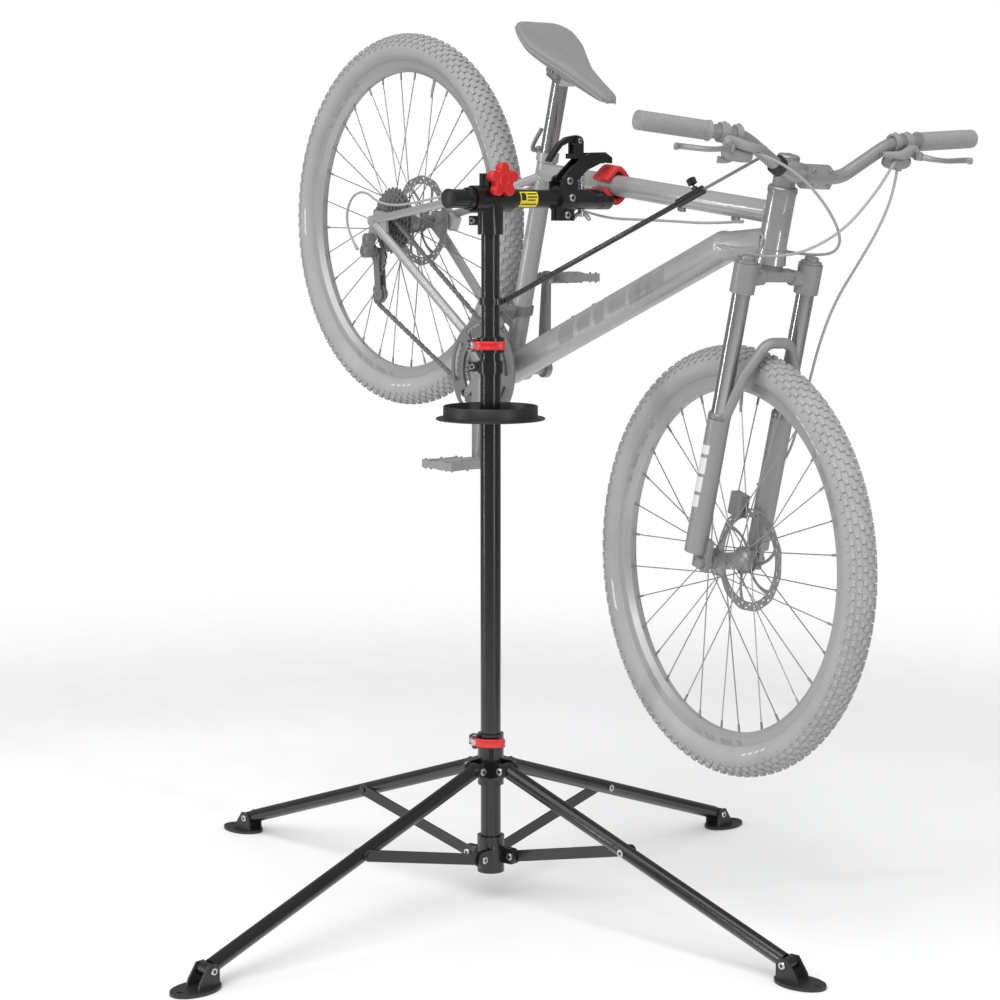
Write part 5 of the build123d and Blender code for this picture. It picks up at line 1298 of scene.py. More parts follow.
# ------------------------------------------------------------------ fork, bar and controls
@dataclass
class FrontEnd:
    """Fork, stem, handlebar, grips and levers, in steering axes."""

    leg_forward: float = 26.0
    leg_side: float = 66.0
    lower_top: float = -250.0
    offset: float = 40.0
    bar_high: float = 171.2
    bar_rise: float = 70.0
    bar_sweep: float = 27.6
    bar_half: float = 337.0
    stem_reach: float = 74.5
    grip_length: float = 126.0
    grip_radius: float = 15.5

    def __post_init__(self) -> None:
        """Direction of the grip, from the bend to the bar's end."""
        self.grip_way = unit([-self.bar_sweep + 10, self.bar_half - 150, 12])

    def on_bar(self, side: int, from_end: float) -> Array:
        """World point a distance in from the bar's end."""
        x = self.stem_reach - self.bar_sweep - self.grip_way[0] * from_end
        y = self.bar_half - self.grip_way[1] * from_end
        z = self.bar_high + self.bar_rise - self.grip_way[2] * from_end
        return STEER.mm(x, side * y, z)

    def fork(self) -> None:
        """Crown and lowers with softened edges, bright stanchions, wiper seals, caps and plain marks."""
        refined("fork_crown", FORK_PAINT, 0.9)
        refined("fork_lowers", FORK_PAINT, 0.9)
        tubes = Shape()
        seals = Shape()
        marks = Shape()
        caps = Shape()
        for side in (-1, 1):
            leg = STEER.moved(self.leg_forward, side * self.leg_side, 0)
            post = Axes(leg.origin, leg.y, leg.z, leg.x)
            top = self.lower_top
            tubes.add(revolved([(14, top + 2), (15.15, top + 2), (15.15, -33), (14, -33)], post, 40))
            seals.add(revolved([(15.3, top + 1), (19.2, top + 1), (19.6, top + 4), (18.4, top + 9),
                (16.4, top + 11),
                                (15.3, top + 11)], post, 48))
            caps.add(revolved([(0, 15), (17.5, 15), (18, 16), (17.6, 20), (12, 21), (12, 26), (10.5, 27.5),
                (0, 27.5)], post, 36))
            for part, (low, high) in enumerate(((-405, -384), (-378, -352), (-346, -318), (-312, -296))):
                s = np.linspace(low, high, 5)[:, None]
                angle = np.linspace(-0.5, 0.5, 7)[None] * (0.8 + 0.1 * part)
                ray = np.cos(angle)[..., None] * STEER.y * side + np.sin(angle)[..., None] * STEER.x
                centre = leg.origin + ((s + 3 * angle) * MM)[..., None] * STEER.z
                marks.add(slab(centre + ray * 19.3 * MM, centre + ray * 18.7 * MM, np.ones((4, 6), bool),
                    False))
        piece("fork_stanchions", tubes, "fork", STANCHION, (), 40)
        piece("fork_seals", seals, "fork_lowers", DARK_METAL, (), 34)
        piece("fork_marks", marks, "fork_lowers", PALE_DECAL, (), 50)
        piece("fork_caps", caps, "fork", PART_METAL, (), 34)

    def cockpit(self) -> None:
        """Handlebar, stem with its screws and cap."""
        refined("handlebar", PART_METAL, 0)
        refined("stem", PART_METAL, 0.9)
        shape = Shape()
        for dy in (-17, 17):
            for dz in (-13, 13):
                shape.add_bolt(STEER.mm(self.stem_reach + 17.4, dy, self.bar_high + dz), STEER.x, 3.4, 2.6)
            shape.add_bolt(STEER.mm(-18, dy * 0.5, self.bar_high + dy * 0.5 - 2), -STEER.x, 3.4, 2.6)
        post = Axes(STEER.origin, STEER.y, STEER.z, STEER.x)
        top = self.bar_high + 16
        shape.add(revolved([(0, top), (18, top), (18.4, top + 1.2), (17, top + 3.4), (5, top + 4.6),
            (0, top + 4.6)], post, 48))
        shape.add_bolt(STEER.mm(0, 0, top + 4.4), STEER.z, 4.6, 1.6)
        piece("stem_screws", shape, "fork", PART_METAL, (), 36)

    def grips(self) -> None:
        """Grips whose radius carries a waffle pattern, with end plugs, and the strap of the holder."""
        shape = Shape()
        for side in (-1, 1):
            start, end = self.on_bar(side, self.grip_length), self.on_bar(side, -3)
            count, around = 90, 48
            s = np.linspace(0, 1, count)
            turn = np.arange(around) * FULL_TURN / around
            ridge = 0.5 * np.sign(np.sin(s * 46 * math.pi))[:, None] * (np.cos(6 * turn)[None] > -0.2)
            flange = 1.6 * np.exp(-(s / 0.03) ** 2)[:, None] + 0.5 * np.exp(-((s - 0.97) / 0.02) ** 2)[:,
                None]
            plain = ((s > 0.07) & (s < 0.92)).astype(float)[:, None]
            radius = (self.grip_radius - 0.4 + ridge * plain + flange) * MM
            way = unit(end - start)
            right = unit(np.cross(way, STEER.z))
            over = np.cross(right, way)
            ring = np.cos(turn)[None, :, None] * right + np.sin(turn)[None, :, None] * over
            body = start + s[:, None, None] * (end - start) + radius[..., None] * ring
            cap = np.arange(around)[None]
            shape.add((body.reshape(-1, 3),
                [grid_faces(count, around, False, True), cap, cap + (count - 1) * around]))
            plug = Axes(end, right, way, np.cross(right, way))
            shape.add(revolved([(0, -0.5), (12.5, -0.5), (12, 0.8), (6, 1.3), (5, 0.4), (0, 0.4)], plug, 32))
        piece("grips", shape, "fork", GRIP_RUBBER, ["grips_and_controls"], 46)
        strap = Shape()
        middle = STEER.mm(self.stem_reach - 4.5, -74, self.bar_high + 13)
        way = unit(STEER.mm(self.stem_reach - 5, -82, self.bar_high + 18)
            - STEER.mm(self.stem_reach - 4, -66, self.bar_high + 8))
        right = unit(np.cross(way, STEER.z))
        ring = Axes(middle, right, way, np.cross(right, way))
        strap.add(revolved([(11.6, -8.5), (14, -8.5), (14.8, -7.5), (14.8, -1), (14.2, 0), (14.8, 1),
            (14.8, 7.5), (14, 8.5), (11.6, 8.5)], ring, 40))
        tab = ring.at(np.array([[-8, 0, 13], [2, 0, 16.2], [10, 0, 13.5]]) * MM)
        strap.add(carried(smooth_path(tab, 10), rounded(3, 13, 1), 1.0, False, ring.y))
        piece("bar_strap", strap, "fork", BLACK_MOULD, (), 34)

    def controls(self) -> None:
        """Lever bodies, reservoirs, shifters and levers on each side of the bar."""
        for side, name in ((-1, "right"), (1, "left")):
            shape = Shape()
            way = unit(self.on_bar(side, 0) - self.on_bar(side, 50))
            right = unit(np.cross(way, STEER.z))
            for place, half in ((self.grip_length + 26, 7.5), (self.grip_length + 52, 5.5)):
                band = Axes(self.on_bar(side, place), right, way, np.cross(right, way))
                shape.add(revolved([(11.2, -half), (15, -half), (16, -half + 1), (16, half - 1), (15, half),
                    (11.2, half)], band, 36))
                shape.add_bolt(band.at(np.array([0, 0, 15.4]) * MM), band.z, 3.0, 2.4)
            pivot = joint_point(f"brake_lever_{name}_pull")
            base = self.on_bar(side, self.grip_length + 26)
            inner = self.on_bar(side, self.grip_length + 92) + STEER.x * 0.022 - STEER.z * 0.012
            spine = np.stack([pivot - STEER.x * 0.006, base + STEER.x * 0.02 - STEER.z * 0.008,
                (base + inner) / 2 + STEER.x * 0.022 - STEER.z * 0.006, inner])
            size = np.interp(np.linspace(0, 1, 18), [0, 0.3, 0.6, 1], [0.85, 1.0, 0.92, 0.5])
            shape.add(carried(smooth_path(spine, 18), rounded(17, 17, 6), size, False, STEER.z))
            pod = self.on_bar(side, self.grip_length + 50) - STEER.z * 0.028 + STEER.x * 0.012
            shape.add(self.pod(pod, way, 26, 17, 12))
            for lever, (reach, drop) in enumerate(((34, -36), (26, -46))):
                tip = (
                    pod - STEER.x * reach * 0.5 * MM + STEER.z * drop * 0.32 * MM + way
                    * (16 + 9 * lever) * MM
                )
                path = smooth_path(np.stack([pod - STEER.z * 0.006, (pod + tip) / 2 - STEER.z * 0.006, tip]),
                    10)
                shape.add(carried(path, rounded(9, 4.5, 2), np.linspace(0.8, 1.25, 10), False, STEER.x))
            piece(f"controls_{name}", shape, "fork", PART_PLASTIC, (), 40, 0)
            self.lever(side, name, pivot)

    @staticmethod
    def pod(centre: Array, way: Array, long: float, wide: float, tall: float) -> tuple[Array, list[Array]]:
        """Rounded shell: a superellipsoid with half sizes along the bar, forward and up."""
        u = np.linspace(-math.pi / 2 + 0.02, math.pi / 2 - 0.02, 16)[:, None]
        v = (np.arange(28) * FULL_TURN / 28)[None]
        power = 0.72

        def bent(value: Array) -> Array:
            """Signed power that squares the ellipse."""
            return np.sign(value) * np.abs(value) ** power

        forward = unit(np.cross(STEER.z, way))
        a = bent(np.sin(u)) * long * np.ones_like(v)
        b = bent(np.cos(u)) * bent(np.cos(v)) * wide
        c = bent(np.cos(u)) * bent(np.sin(v)) * tall
        points = centre + (a[..., None] * way + b[..., None] * forward + c[..., None] * STEER.z) * MM
        cap = np.arange(28)[None]
        return points.reshape(-1, 3), [grid_faces(16, 28, False, True), cap, cap + 15 * 28]

    def lever(self, side: int, name: str, pivot: Array) -> None:
        """Brake lever blade: a flat bar carried along an S curve with a hooked, widened tip."""
        shape = Shape()
        local = np.array([[0, 0, 0], [9, side * 26, -2], [11, side * 52, -3], [6, side * 80, -2.5],
            [3, side * 100, -2], [8, side * 111, -2]], float)
        path = pivot + (local[:, :1] * STEER.x + local[:, 1:2] * STEER.y + local[:, 2:] * STEER.z) * MM
        share = np.linspace(0, 1, 30)
        width = np.interp(share, [0, 0.25, 0.8, 0.95, 1], [1.0, 0.75, 0.85, 1.1, 0.8])
        shape.add(carried(smooth_path(path, 30), rounded(7.5, 11, 3), np.column_stack([width, width]), False,
            STEER.z))
        post = Axes(pivot, STEER.y, STEER.z, STEER.x)
        shape.add(revolved([(3.1, -6), (7, -6), (7, 6), (3.1, 6)], post, 28))
        shape.add_bolt(pivot + STEER.z * 0.006, STEER.z, 4.4, 2.0)
        piece(f"brake_blade_{name}", shape, f"brake_lever_{name}", PART_METAL,
            [f"brake_lever_{name}"], 40)

    def build(self) -> None:
        """Builds the front end."""
        self.fork()
        self.cockpit()
        self.grips()
        self.controls()


# ------------------------------------------------------------------ cables
class Route(Enum):
    """How a cable goes between two bodies."""

    BAR_TO_FRAME = "bar_to_frame"
    BAR_TO_FORK = "bar_to_fork"
    FRAME = "frame"


@dataclass
class Cable:
    """Housing along a smooth spline, in local millimetres."""

    name: str
    route: Route
    points: tuple[tuple[float, float, float], ...]
    axes: Axes
    radius: float = 2.3

    def spline(self) -> Array:
        """Points read from the NURBS spline whose control points are the route's."""
        curve = bpy.data.curves.new("route", "CURVE")
        curve.dimensions = "3D"
        curve.resolution_u = 8
        line = curve.splines.new("NURBS")
        line.points.add(len(self.points) - 1)
        world = self.axes.at(np.array(self.points) * MM)
        line.points.foreach_set("co", np.column_stack([world, np.ones(len(world))]).ravel())
        line.order_u = 3
        line.use_endpoint_u = True
        holder = bpy.data.objects.new("route", curve)
        mesh = bpy.data.meshes.new_from_object(holder)
        found = np.zeros(len(mesh.vertices) * 3)
        mesh.vertices.foreach_get("co", found)
        bpy.data.objects.remove(holder)
        bpy.data.curves.remove(curve)
        bpy.data.meshes.remove(mesh)
        return found.reshape(-1, 3)

    def build(self) -> None:
        """Round housing with a ferrule at each end."""
        path = self.spline()
        guide = np.linalg.svd(np.diff(path, axis=0))[2][2]
        shape = Shape().add(carried(path, circle(self.radius, 12), 1.0, False, guide))
        for here, there in ((path[0], path[3]), (path[-1], path[-4])):
            shape.add(bar(here, here + unit(there - here) * 11 * MM, circle(3.1, 14)))
        if self.route is Route.FRAME:
            piece(self.name, shape, "clamp_arm", CABLE_SKIN, ["cables"], 40)
            return
        obj = bpy.data.objects.new(self.name, shape.mesh(self.name, 40))
        finish_piece(obj, "", CABLE_SKIN, ["cables"])
        if self.route is Route.BAR_TO_FRAME:
            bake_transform(obj)
        else:
            tuple(STEER.mm(100, 98, 20))
            tuple(STEER.mm(43, 91, -250))
            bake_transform(obj)


def build_cables() -> None:
    """The two head loops, the front brake hose and the rear gear cable."""
    left = ((81, 158, 212), (112, 124, 200), (136, 76, 156), (140, 26, 100), (120, -22, 60), (82, -46, 41),
            (40, -55, 31), (-6, -53, 24), (-50, -47, 18), (-90, -42, 16))
    right = ((81, -158, 212), (106, -120, 206), (132, -68, 180), (142, -12, 132), (129, 34, 84), (94, 56, 52),
             (48, 60, 36), (2, 54, 27), (-46, 45, 22), (-90, 37, 17))
    hose = ((82, 160, 205), (108, 142, 168), (120, 118, 108), (104, 100, 38), (72, 94, -34), (54, 93, -106),
            (48, 92, -178), (43, 91, -250), (34, 90, -314), (14, 78, -362), (-4, 65, -382))
    gear = ((868, -34, 520), (828, -22, 494), (762, -12, 453), (694, -9, 416), (626, -10, 378),
        (556, -12, 338),
            (488, -14, 312), (424, -22, 296), (368, -40, 284), (308, -56, 262), (248, -64, 222),
            (190, -72, 172),
            (130, -80, 122), (74, -88, 78), (24, -96, 54), (-28, -98, 52), (-64, -96, 20), (-68, -94, -24),
            (-40, -92, -56), (0, -92, -66))
    for name, route, points, axes in (("cable_left_loop", Route.BAR_TO_FRAME, left, STEER),
                                      ("cable_right_loop", Route.BAR_TO_FRAME, right, STEER),
                                      ("front_brake_hose", Route.BAR_TO_FORK, hose, STEER),
                                      ("rear_gear_cable", Route.FRAME, gear, BIKE)):
        Cable(name, route, points, axes).build()


# ------------------------------------------------------------------ saddle
@dataclass
class Seat:
    """Saddle, rails and seat post, in bicycle axes."""

    length: float = 270.0
    half: float = 68.0
    post_top: float = 560.0
    seat_angle: float = math.radians(74.4)
    bottom: tuple[float, float] = (442.0, -61.7)

    def __post_init__(self) -> None:
        """Place of the seat clamp and of the saddle's two ends."""
        self.clamp_x = self.bottom[0] - math.cos(self.seat_angle) * self.post_top
        self.clamp_z = self.bottom[1] + math.sin(self.seat_angle) * self.post_top
        self.nose = self.clamp_x + 150
        self.back = self.nose - self.length
        self.top = self.clamp_z + 52

    def half_width(self, share: Array) -> Array:
        """Half width from the back to the nose: wide wings that draw in to a slim rounded nose."""
        knots = np.interp(share, [0, 0.04, 0.14, 0.28, 0.42, 0.58, 0.8, 0.95, 1.0],
            [28, 50, 65, 67, 52, 33, 22, 17.5, 7])
        kernel = np.hanning(9) / np.hanning(9).sum()
        padded = np.pad(knots, 4, mode="edge")
        return np.convolve(padded, kernel, mode="valid")

    def skin(self) -> None:
        """Closed crowned form: section half width and crown change along the saddle, with a sunk middle
        channel."""
        count, around = 72, 72
        share = (1 - np.cos(np.linspace(0, math.pi, count))) / 2
        turn = np.arange(around) * FULL_TURN / around
        half = self.half_width(share)[:, None]
        sine, cosine = np.sin(turn)[None], np.cos(turn)[None]
        y = half * np.sign(cosine) * np.abs(cosine) ** 0.82
        crown = np.interp(share, [0, 0.2, 0.5, 1], [15, 14, 12, 10])[:, None]
        skirt = np.interp(share, [0, 0.25, 0.6, 1], [12, 16, 19, 10])[:, None]
        end_round = np.sqrt(np.maximum(1 - np.abs(2 * share - 1) ** 10, 0.02))[:, None]
        rise = np.where(sine > 0, crown * np.abs(sine) ** 0.75, -skirt * np.abs(sine) ** 0.4) * end_round
        channel = 4.2 * np.exp(-(y / 8.0) ** 2) * np.exp(-((share[:, None] - 0.42) / 0.3) ** 4) * (sine > 0)
        wings = 9.0 * np.exp(-((share[:, None] - 0.06) / 0.2) ** 2) * (np.abs(y) / self.half) ** 2
        sway = -6.0 * np.sin(share * math.pi)[:, None] + 8 * (1 - share[:, None]) - 4 * share[:, None] ** 3
        x = self.back + self.length * share[:, None] + np.zeros_like(y)
        z = self.top - 17 + rise - channel + wings + sway
        points = BIKE.at(np.stack([x, y, z], -1) * MM).reshape(-1, 3)
        cap = np.arange(around)[None]
        shape = Shape().add((points,
            [grid_faces(count, around, False, True), cap, cap + (count - 1) * around]))
        obj = bpy.data.objects.new("saddle_cover", shape.mesh("saddle_cover", 70))
        finish_piece(obj, "seatpost", SADDLE_SKIN, ["saddle"])
        piping = Shape()
        edge = slice(4, count - 3)
        for side in (0, around // 2):
            line = points.reshape(count, around, 3)[edge, side] - BIKE.z * 0.004
            piping.add(carried(line, circle(1.5, 8), 1.0, False, BIKE.z))
        piece("saddle_piping", piping, "seatpost", GRIP_RUBBER, (), 60)

    def rails(self) -> None:
        """Two bent rails under the saddle and the clamp that holds them."""
        shape = Shape()
        for side in (-1, 1):
            local = np.array([(self.back + 38, side * 34, self.top - 24),
                (self.clamp_x - 52, side * 24, self.clamp_z + 16),
                              (self.clamp_x - 20, side * 21, self.clamp_z + 12),
                              (self.clamp_x + 24, side * 21, self.clamp_z + 12),
                              (self.clamp_x + 62, side * 18, self.clamp_z + 20),
                              (self.nose - 30, side * 8, self.top - 22)])
            shape.add(carried(BIKE.at(smooth_path(local, 40) * MM), circle(3.5, 14), 1.0, False, BIKE.y))
        piece("saddle_rails", shape, "seatpost", PART_METAL, (), 40)
        refined("seatpost", STANCHION, 0.8)
        clamp = Shape()
        centre = BIKE.mm(self.clamp_x, 0, self.clamp_z + 10)
        for side in (-1, 1):
            clamp.add(bar(centre + BIKE.y * side * 0.016, centre + BIKE.y * side * 0.027, rounded(34, 15, 5),
                BIKE.z))
            clamp.add_bolt(centre + BIKE.y * side * 0.027, BIKE.y * side, 4.5, 2.5)
        piece("saddle_clamp", clamp, "seatpost", PART_METAL, (), 34, 0.6)

    def build(self) -> None:
        """Builds the seat."""
        self.skin()
        self.rails()


# ------------------------------------------------------------------ stand
@dataclass
class Stand:
    """Folding stand: poles, legs, tray, levers, clamp head and handlebar holder."""

    hinge_radius: float = 38.0
    leg_hinge: float = 239.0
    strut_hinge: float = 81.0
    foot_radius: float = 650.0
    foot_pivot: float = 29.0
    mid_radius: float = 312.0
    first_azimuth: float = 9.2
    lug_azimuth: float = 215.0
    lever_azimuth: float = 258.0
    lever_radius: float = 30.5
    lever_heights: tuple[float, float] = (983.0, 287.0)
    knob_height: float = 1264.0
    arm_height: float = 1233.0
    arm_radius: float = 16.0
    tray_height: float = 854.0

    def painted(self) -> None:
        """Coated tubes and brackets with softened edges."""
        widths = {"lower_pole": 0.3, "upper_pole": 0.3, "base_hub": 0.9, "pole_collars": 0.8,
            "leg_collar": 0.8,
                  "arm_head": 1.0, "clamp_arm": 0.6, "clamp_body": 1.0, "upper_jaw": 0.8, "cam_lever": 1.2,
                  "rod_collar": 0.5, "holder_rod": 0.5}
        for index in range(1, 5):
            widths[f"leg_{index}"] = 0.8
            widths[f"strut_{index}"] = 0.5
        for node, width in widths.items():
            refined(node, POWDER, width)
        for index in range(1, 5):
            refined(f"foot_{index}", BLACK_MOULD, 1.0)
        refined("slide_rod", DARK_METAL, 0)

    def pads(self) -> None:
        """V pads round the gripped tube: a thick band carried across the tube, 22.9 mm from its axis at
        the faces."""
        start, end = BIKE.mm(338.5, 0, 305), BIKE.mm(902, 0, 556)
        way = unit(end - start)
        reach = float((STAND.origin - start) @ STAND.x / (way @ STAND.x))
        centre = start + way * reach
        for node, body, sign in (("lower_jaw_pad", "clamp_arm", -1), ("upper_jaw_pad", "upper_jaw", 1)):
            lift = unit(np.cross(way, STAND.y)) * sign
            lift = lift if (lift @ STAND.z) * sign > 0 else -lift
            local = np.array([(-26.5, 7.5), (-23.5, 11.5), (-17.0, 17.5), (-9.5, 25.0), (0, 30.0),
                (9.5, 25.0), (17.0, 17.5),
                              (23.5, 11.5), (29.0, 9.0)])
            path = smooth_path(centre + (local[:, :1] * STAND.y + local[:, 1:] * lift) * MM, 40)
            width = np.interp(np.linspace(0, 1, 40), [0, 0.06, 0.94, 1], [0.72, 1.0, 1.0, 0.72])
            band = carried(path, rounded(9.5, 40, 2.6), np.column_stack([width, np.ones(40)]), False, way)
            piece(f"{node}_band", Shape().add(band), body, RED_SOFT, [node], 44)

    def lug_heads(self, shape: Shape, height: float, inner: float) -> None:
        """Hexagon head and nut of one lug bolt."""
        turn = STAND.swung(math.radians(self.lug_azimuth))
        shape.add_bolt(turn.mm(inner + 8, -9, height), -turn.y, 6.4, 3.6)
        shape.add_bolt(turn.mm(inner + 8, 9, height), turn.y, 5.6, 3.6)

    def lever_pins(self, shape: Shape, height: float) -> None:
        """Silver ends of a lever's pin."""
        turn = STAND.swung(math.radians(self.lever_azimuth))
        for side in (-1, 1):
            shape.add_bolt(turn.mm(self.lever_radius, 0, height + side * 10.9), STAND.z * side, 4.2, 2.0)

    def bolts(self) -> None:
        """Silver bolt heads, one piece for each body."""
        shape = Shape()
        for height, inner in ((945.0, 22.0), (self.lever_heights[0], 24.5)):
            self.lug_heads(shape, height, inner)
        self.lever_pins(shape, self.lever_heights[0])
        for turn in self.turns():
            shape.add_bolt(turn.mm(self.hinge_radius, 20.4, self.strut_hinge), turn.y, 6.6, 3.4)
            shape.add_bolt(turn.mm(self.hinge_radius, 8.6, self.strut_hinge), -turn.y, 6.4, 3.4)
        piece("hub_bolts", shape, "pole", BOLT_STEEL, (), 34)
        shape = Shape()
        self.lug_heads(shape, self.lever_heights[1], 23.0)
        self.lever_pins(shape, self.lever_heights[1])
        for turn in self.turns():
            for side in (-1, 1):
                shape.add_bolt(turn.mm(self.hinge_radius, side * 16.9, self.leg_hinge), turn.y * side, 6.6,
                    3.4)
        piece("collar_bolts", shape, "leg_collar", BOLT_STEEL, (), 34)
        slope = (self.leg_hinge - self.foot_pivot) / (self.foot_radius - self.hinge_radius)
        middle = self.leg_hinge - (self.mid_radius - self.hinge_radius) * slope
        for index, turn in enumerate(self.turns(), 1):
            foot = Shape()
            for side in (-1, 1):
                foot.add_bolt(turn.mm(self.foot_radius, side * 16.4, self.foot_pivot), turn.y * side, 6.6,
                    3.4)
            piece(f"foot_bolts_{index}", foot, f"foot_{index}", BOLT_STEEL, (), 34)
            rivet = Shape().add_bolt(turn.mm(self.mid_radius, -14.6, middle), -turn.y, 6.4, 1.2)
            piece(f"leg_bolt_{index}", rivet, f"leg_{index}", BOLT_STEEL, (), 34)
        shape = Shape()
        self.lug_heads(shape, 1196.0, 22.0)
        piece("head_bolt", shape, "upper_pole", BOLT_STEEL, (), 34)
        shape = Shape()
        for side in (-1, 1):
            for reach, y, z in ((18.6, 159, 1264), (12, 160, 1205), (22.4, 162, 1235)):
                shape.add_bolt(STAND.mm(side * reach, y, z), STAND.x * side, 6.6, 3.6)
        turns = np.linspace(0, 7 * FULL_TURN, 200)
        coil = np.column_stack([6.2 * np.cos(turns), 201 + 6.2 * np.sin(turns), np.linspace(1253, 1288, 200)])
        shape.add(carried(STAND.at(coil * MM), circle(0.9, 8), 1.0, False, STAND.z))
        piece("clamp_bolts", shape, "clamp_arm", BOLT_STEEL, (), 34)
        shape = Shape()
        for side in (-1, 1):
            shape.add_bolt(STAND.mm(side * 10.8, 189, 1334), STAND.x * side, 4.6, 2.2)
        piece("cam_pin", shape, "upper_jaw", BOLT_STEEL, (), 34)

    def turns(self) -> list[Axes]:
        """Axes turned to each leg."""
        return [STAND.swung(math.radians(self.first_azimuth + 90 * index)) for index in range(4)]

    def knob(self) -> None:
        """Star knob: the lobes' outline is a smooth maximum of the hub circle and five lobe circles."""
        axes = Axes(STAND.mm(0, 0, self.knob_height), STAND.y, STAND.x, -STAND.z)
        count = 240
        turn = np.arange(count) * FULL_TURN / count
        apart = (turn + math.radians(90) + math.radians(36)) % math.radians(72) - math.radians(36)
        chord = 9.5 ** 2 - (21 * np.sin(apart)) ** 2
        lobe = np.where(chord > 0, 21 * np.cos(apart) + np.sqrt(np.maximum(chord, 0)), 16.0)
        outline = np.log(np.exp(lobe * 0.34) + np.exp(19.0 * 0.34)) / 0.34
        profile = np.array([(26.0, 4.5), (26.3, 2.4), (27.2, 1.0), (29.0, 0.2), (31, 0), (38.5, 0),
            (40.4, 0.5), (41.5, 1.8), (42, 4.2)])
        radius = np.minimum(outline[None], 30.4) - profile[:, 1:]
        body = np.stack([radius * np.cos(turn), np.repeat(profile[:, :1], count, 1), radius * np.sin(turn)],
            -1)
        cap = np.arange(count)[None]
        last = (len(profile) - 1) * count
        shape = Shape().add((axes.at(body.reshape(-1, 3) * MM),
            [grid_faces(len(profile), count, False, True), cap, cap + last]))
        shape.add(revolved([(4.2, 14), (8.4, 14), (9, 14.8), (9, 24), (11, 26.2), (4.2, 26.2)], axes, 40))
        shape.add(revolved([(0, 41.8), (12.5, 41.8), (12.5, 42.6), (11.6, 43.2), (8, 43.2), (7.4, 42.5),
            (0, 42.3)], axes, 48))
        piece("star_knob", shape, "head_knob", RED_MOULD, ["head_knob"], 40)
        screw = Shape().add(revolved([(0, -19), (3.4, -19), (4, -18.4), (4, 14.2), (0, 14.2)], axes, 24))
        piece("knob_screw", screw, "head_knob", BOLT_STEEL, (), 34)

    def levers(self) -> None:
        """Red quick-release levers: a band that wraps the collar, thins and ends in a thumb lip, on a
        silver cam."""
        for name, height in zip(("upper_lever", "lower_lever"), self.lever_heights):
            share = np.linspace(0, 1, 44)
            angle = np.radians(self.lever_azimuth + 109 * share)
            reach = self.lever_radius + 4.5 * share ** 6
            centre = np.column_stack([reach * np.cos(angle), reach * np.sin(angle), np.full(44, height)])
            thick = np.interp(share, [0, 0.1, 0.5, 0.9, 1], [1.0, 0.95, 0.72, 0.8, 0.55])
            tall = np.interp(share, [0, 0.15, 0.8, 1], [0.85, 1.0, 1.0, 0.7])
            shape = Shape()
            path = STAND.at(centre * MM)
            shape.add(carried(path, rounded(5, 15, 1.6), np.column_stack([thick, tall]), False, STAND.z))
            for side in (-1, 1):
                edge = path + STAND.z * (side * 5.0 * MM)
                shape.add(carried(edge, rounded(7.6, 4.6, 1.4), np.column_stack([thick, np.ones(44)]), False,
                    STAND.z))
            x, y = self.lever_radius * math.cos(angle[0]), self.lever_radius * math.sin(angle[0])
            post = Axes(STAND.mm(x, y, height), STAND.y, STAND.z, STAND.x)
            shape.add(revolved([(3.1, -7.4), (6.2, -7.4), (6.8, -6.8), (6.8, 6.8), (6.2, 7.4), (3.1, 7.4)],
                post, 36))
            piece(f"{name}_grip", shape, name, RED_MOULD, [name], 44)
            cam = Shape().add(revolved([(3.1, -5), (7.3, -5), (7.3, -2.2), (6.9, -2), (6.9, 2), (7.3, 2.2),
                (7.3, 5), (3.1, 5)], post, 36))
            piece(f"{name}_cam", cam, name, BOLT_STEEL, (), 34)

    def tray(self) -> None:
        """Tray turned from one profile, with a flange, a rolled rim, radial ribs and shallow wells' edges."""
        z = self.tray_height
        post = Axes(STAND.origin, STAND.y, STAND.z, STAND.x)
        shape = Shape()
        shape.add(revolved([(17.95, z), (94, z), (95, z + 0.9), (94.8, z + 2.4), (94, z + 3), (84, z + 3),
            (82.2, z + 4.4),
                            (82, z + 22.6), (81.4, z + 23.8), (80.6, z + 23.8), (80, z + 22.8),
                            (79.8, z + 4.5),
                            (78.6, z + 3), (22, z + 3), (21, z + 4), (20.9, z + 11.4), (20.2, z + 12),
                            (17.95, z + 12)], post, 120))
        for index in range(4):
            turn = STAND.swung(math.radians(45 + 90 * index))
            shape.add(bar(turn.mm(20, 0, z + 5.6), turn.mm(80.6, 0, z + 5.6), rounded(2, 8.6, 0.7), turn.z))
        piece("tray_shell", shape, "tray", BLACK_MOULD, ["tool_tray"], 34)

    def label(self) -> None:
        """Yellow label wrapped on the arm with plain dark blocks."""
        def patch(low: float, high: float, first: float, last: float, radius: float) -> tuple[Array,
                list[Array]]:
            """Part of a cylinder about the arm."""
            y = np.linspace(low, high, 4)[:, None]
            angle = np.radians(np.linspace(first, last, 14))[None]
            ray = np.cos(angle)[..., None] * STAND.x + np.sin(angle)[..., None] * STAND.z
            centre = STAND.mm(0, 0, self.arm_height) + (y * MM)[..., None] * STAND.y
            return slab(centre + ray * (radius + 0.15) * MM, centre + ray * (radius - 0.3) * MM,
                np.ones((3, 13), bool), False)

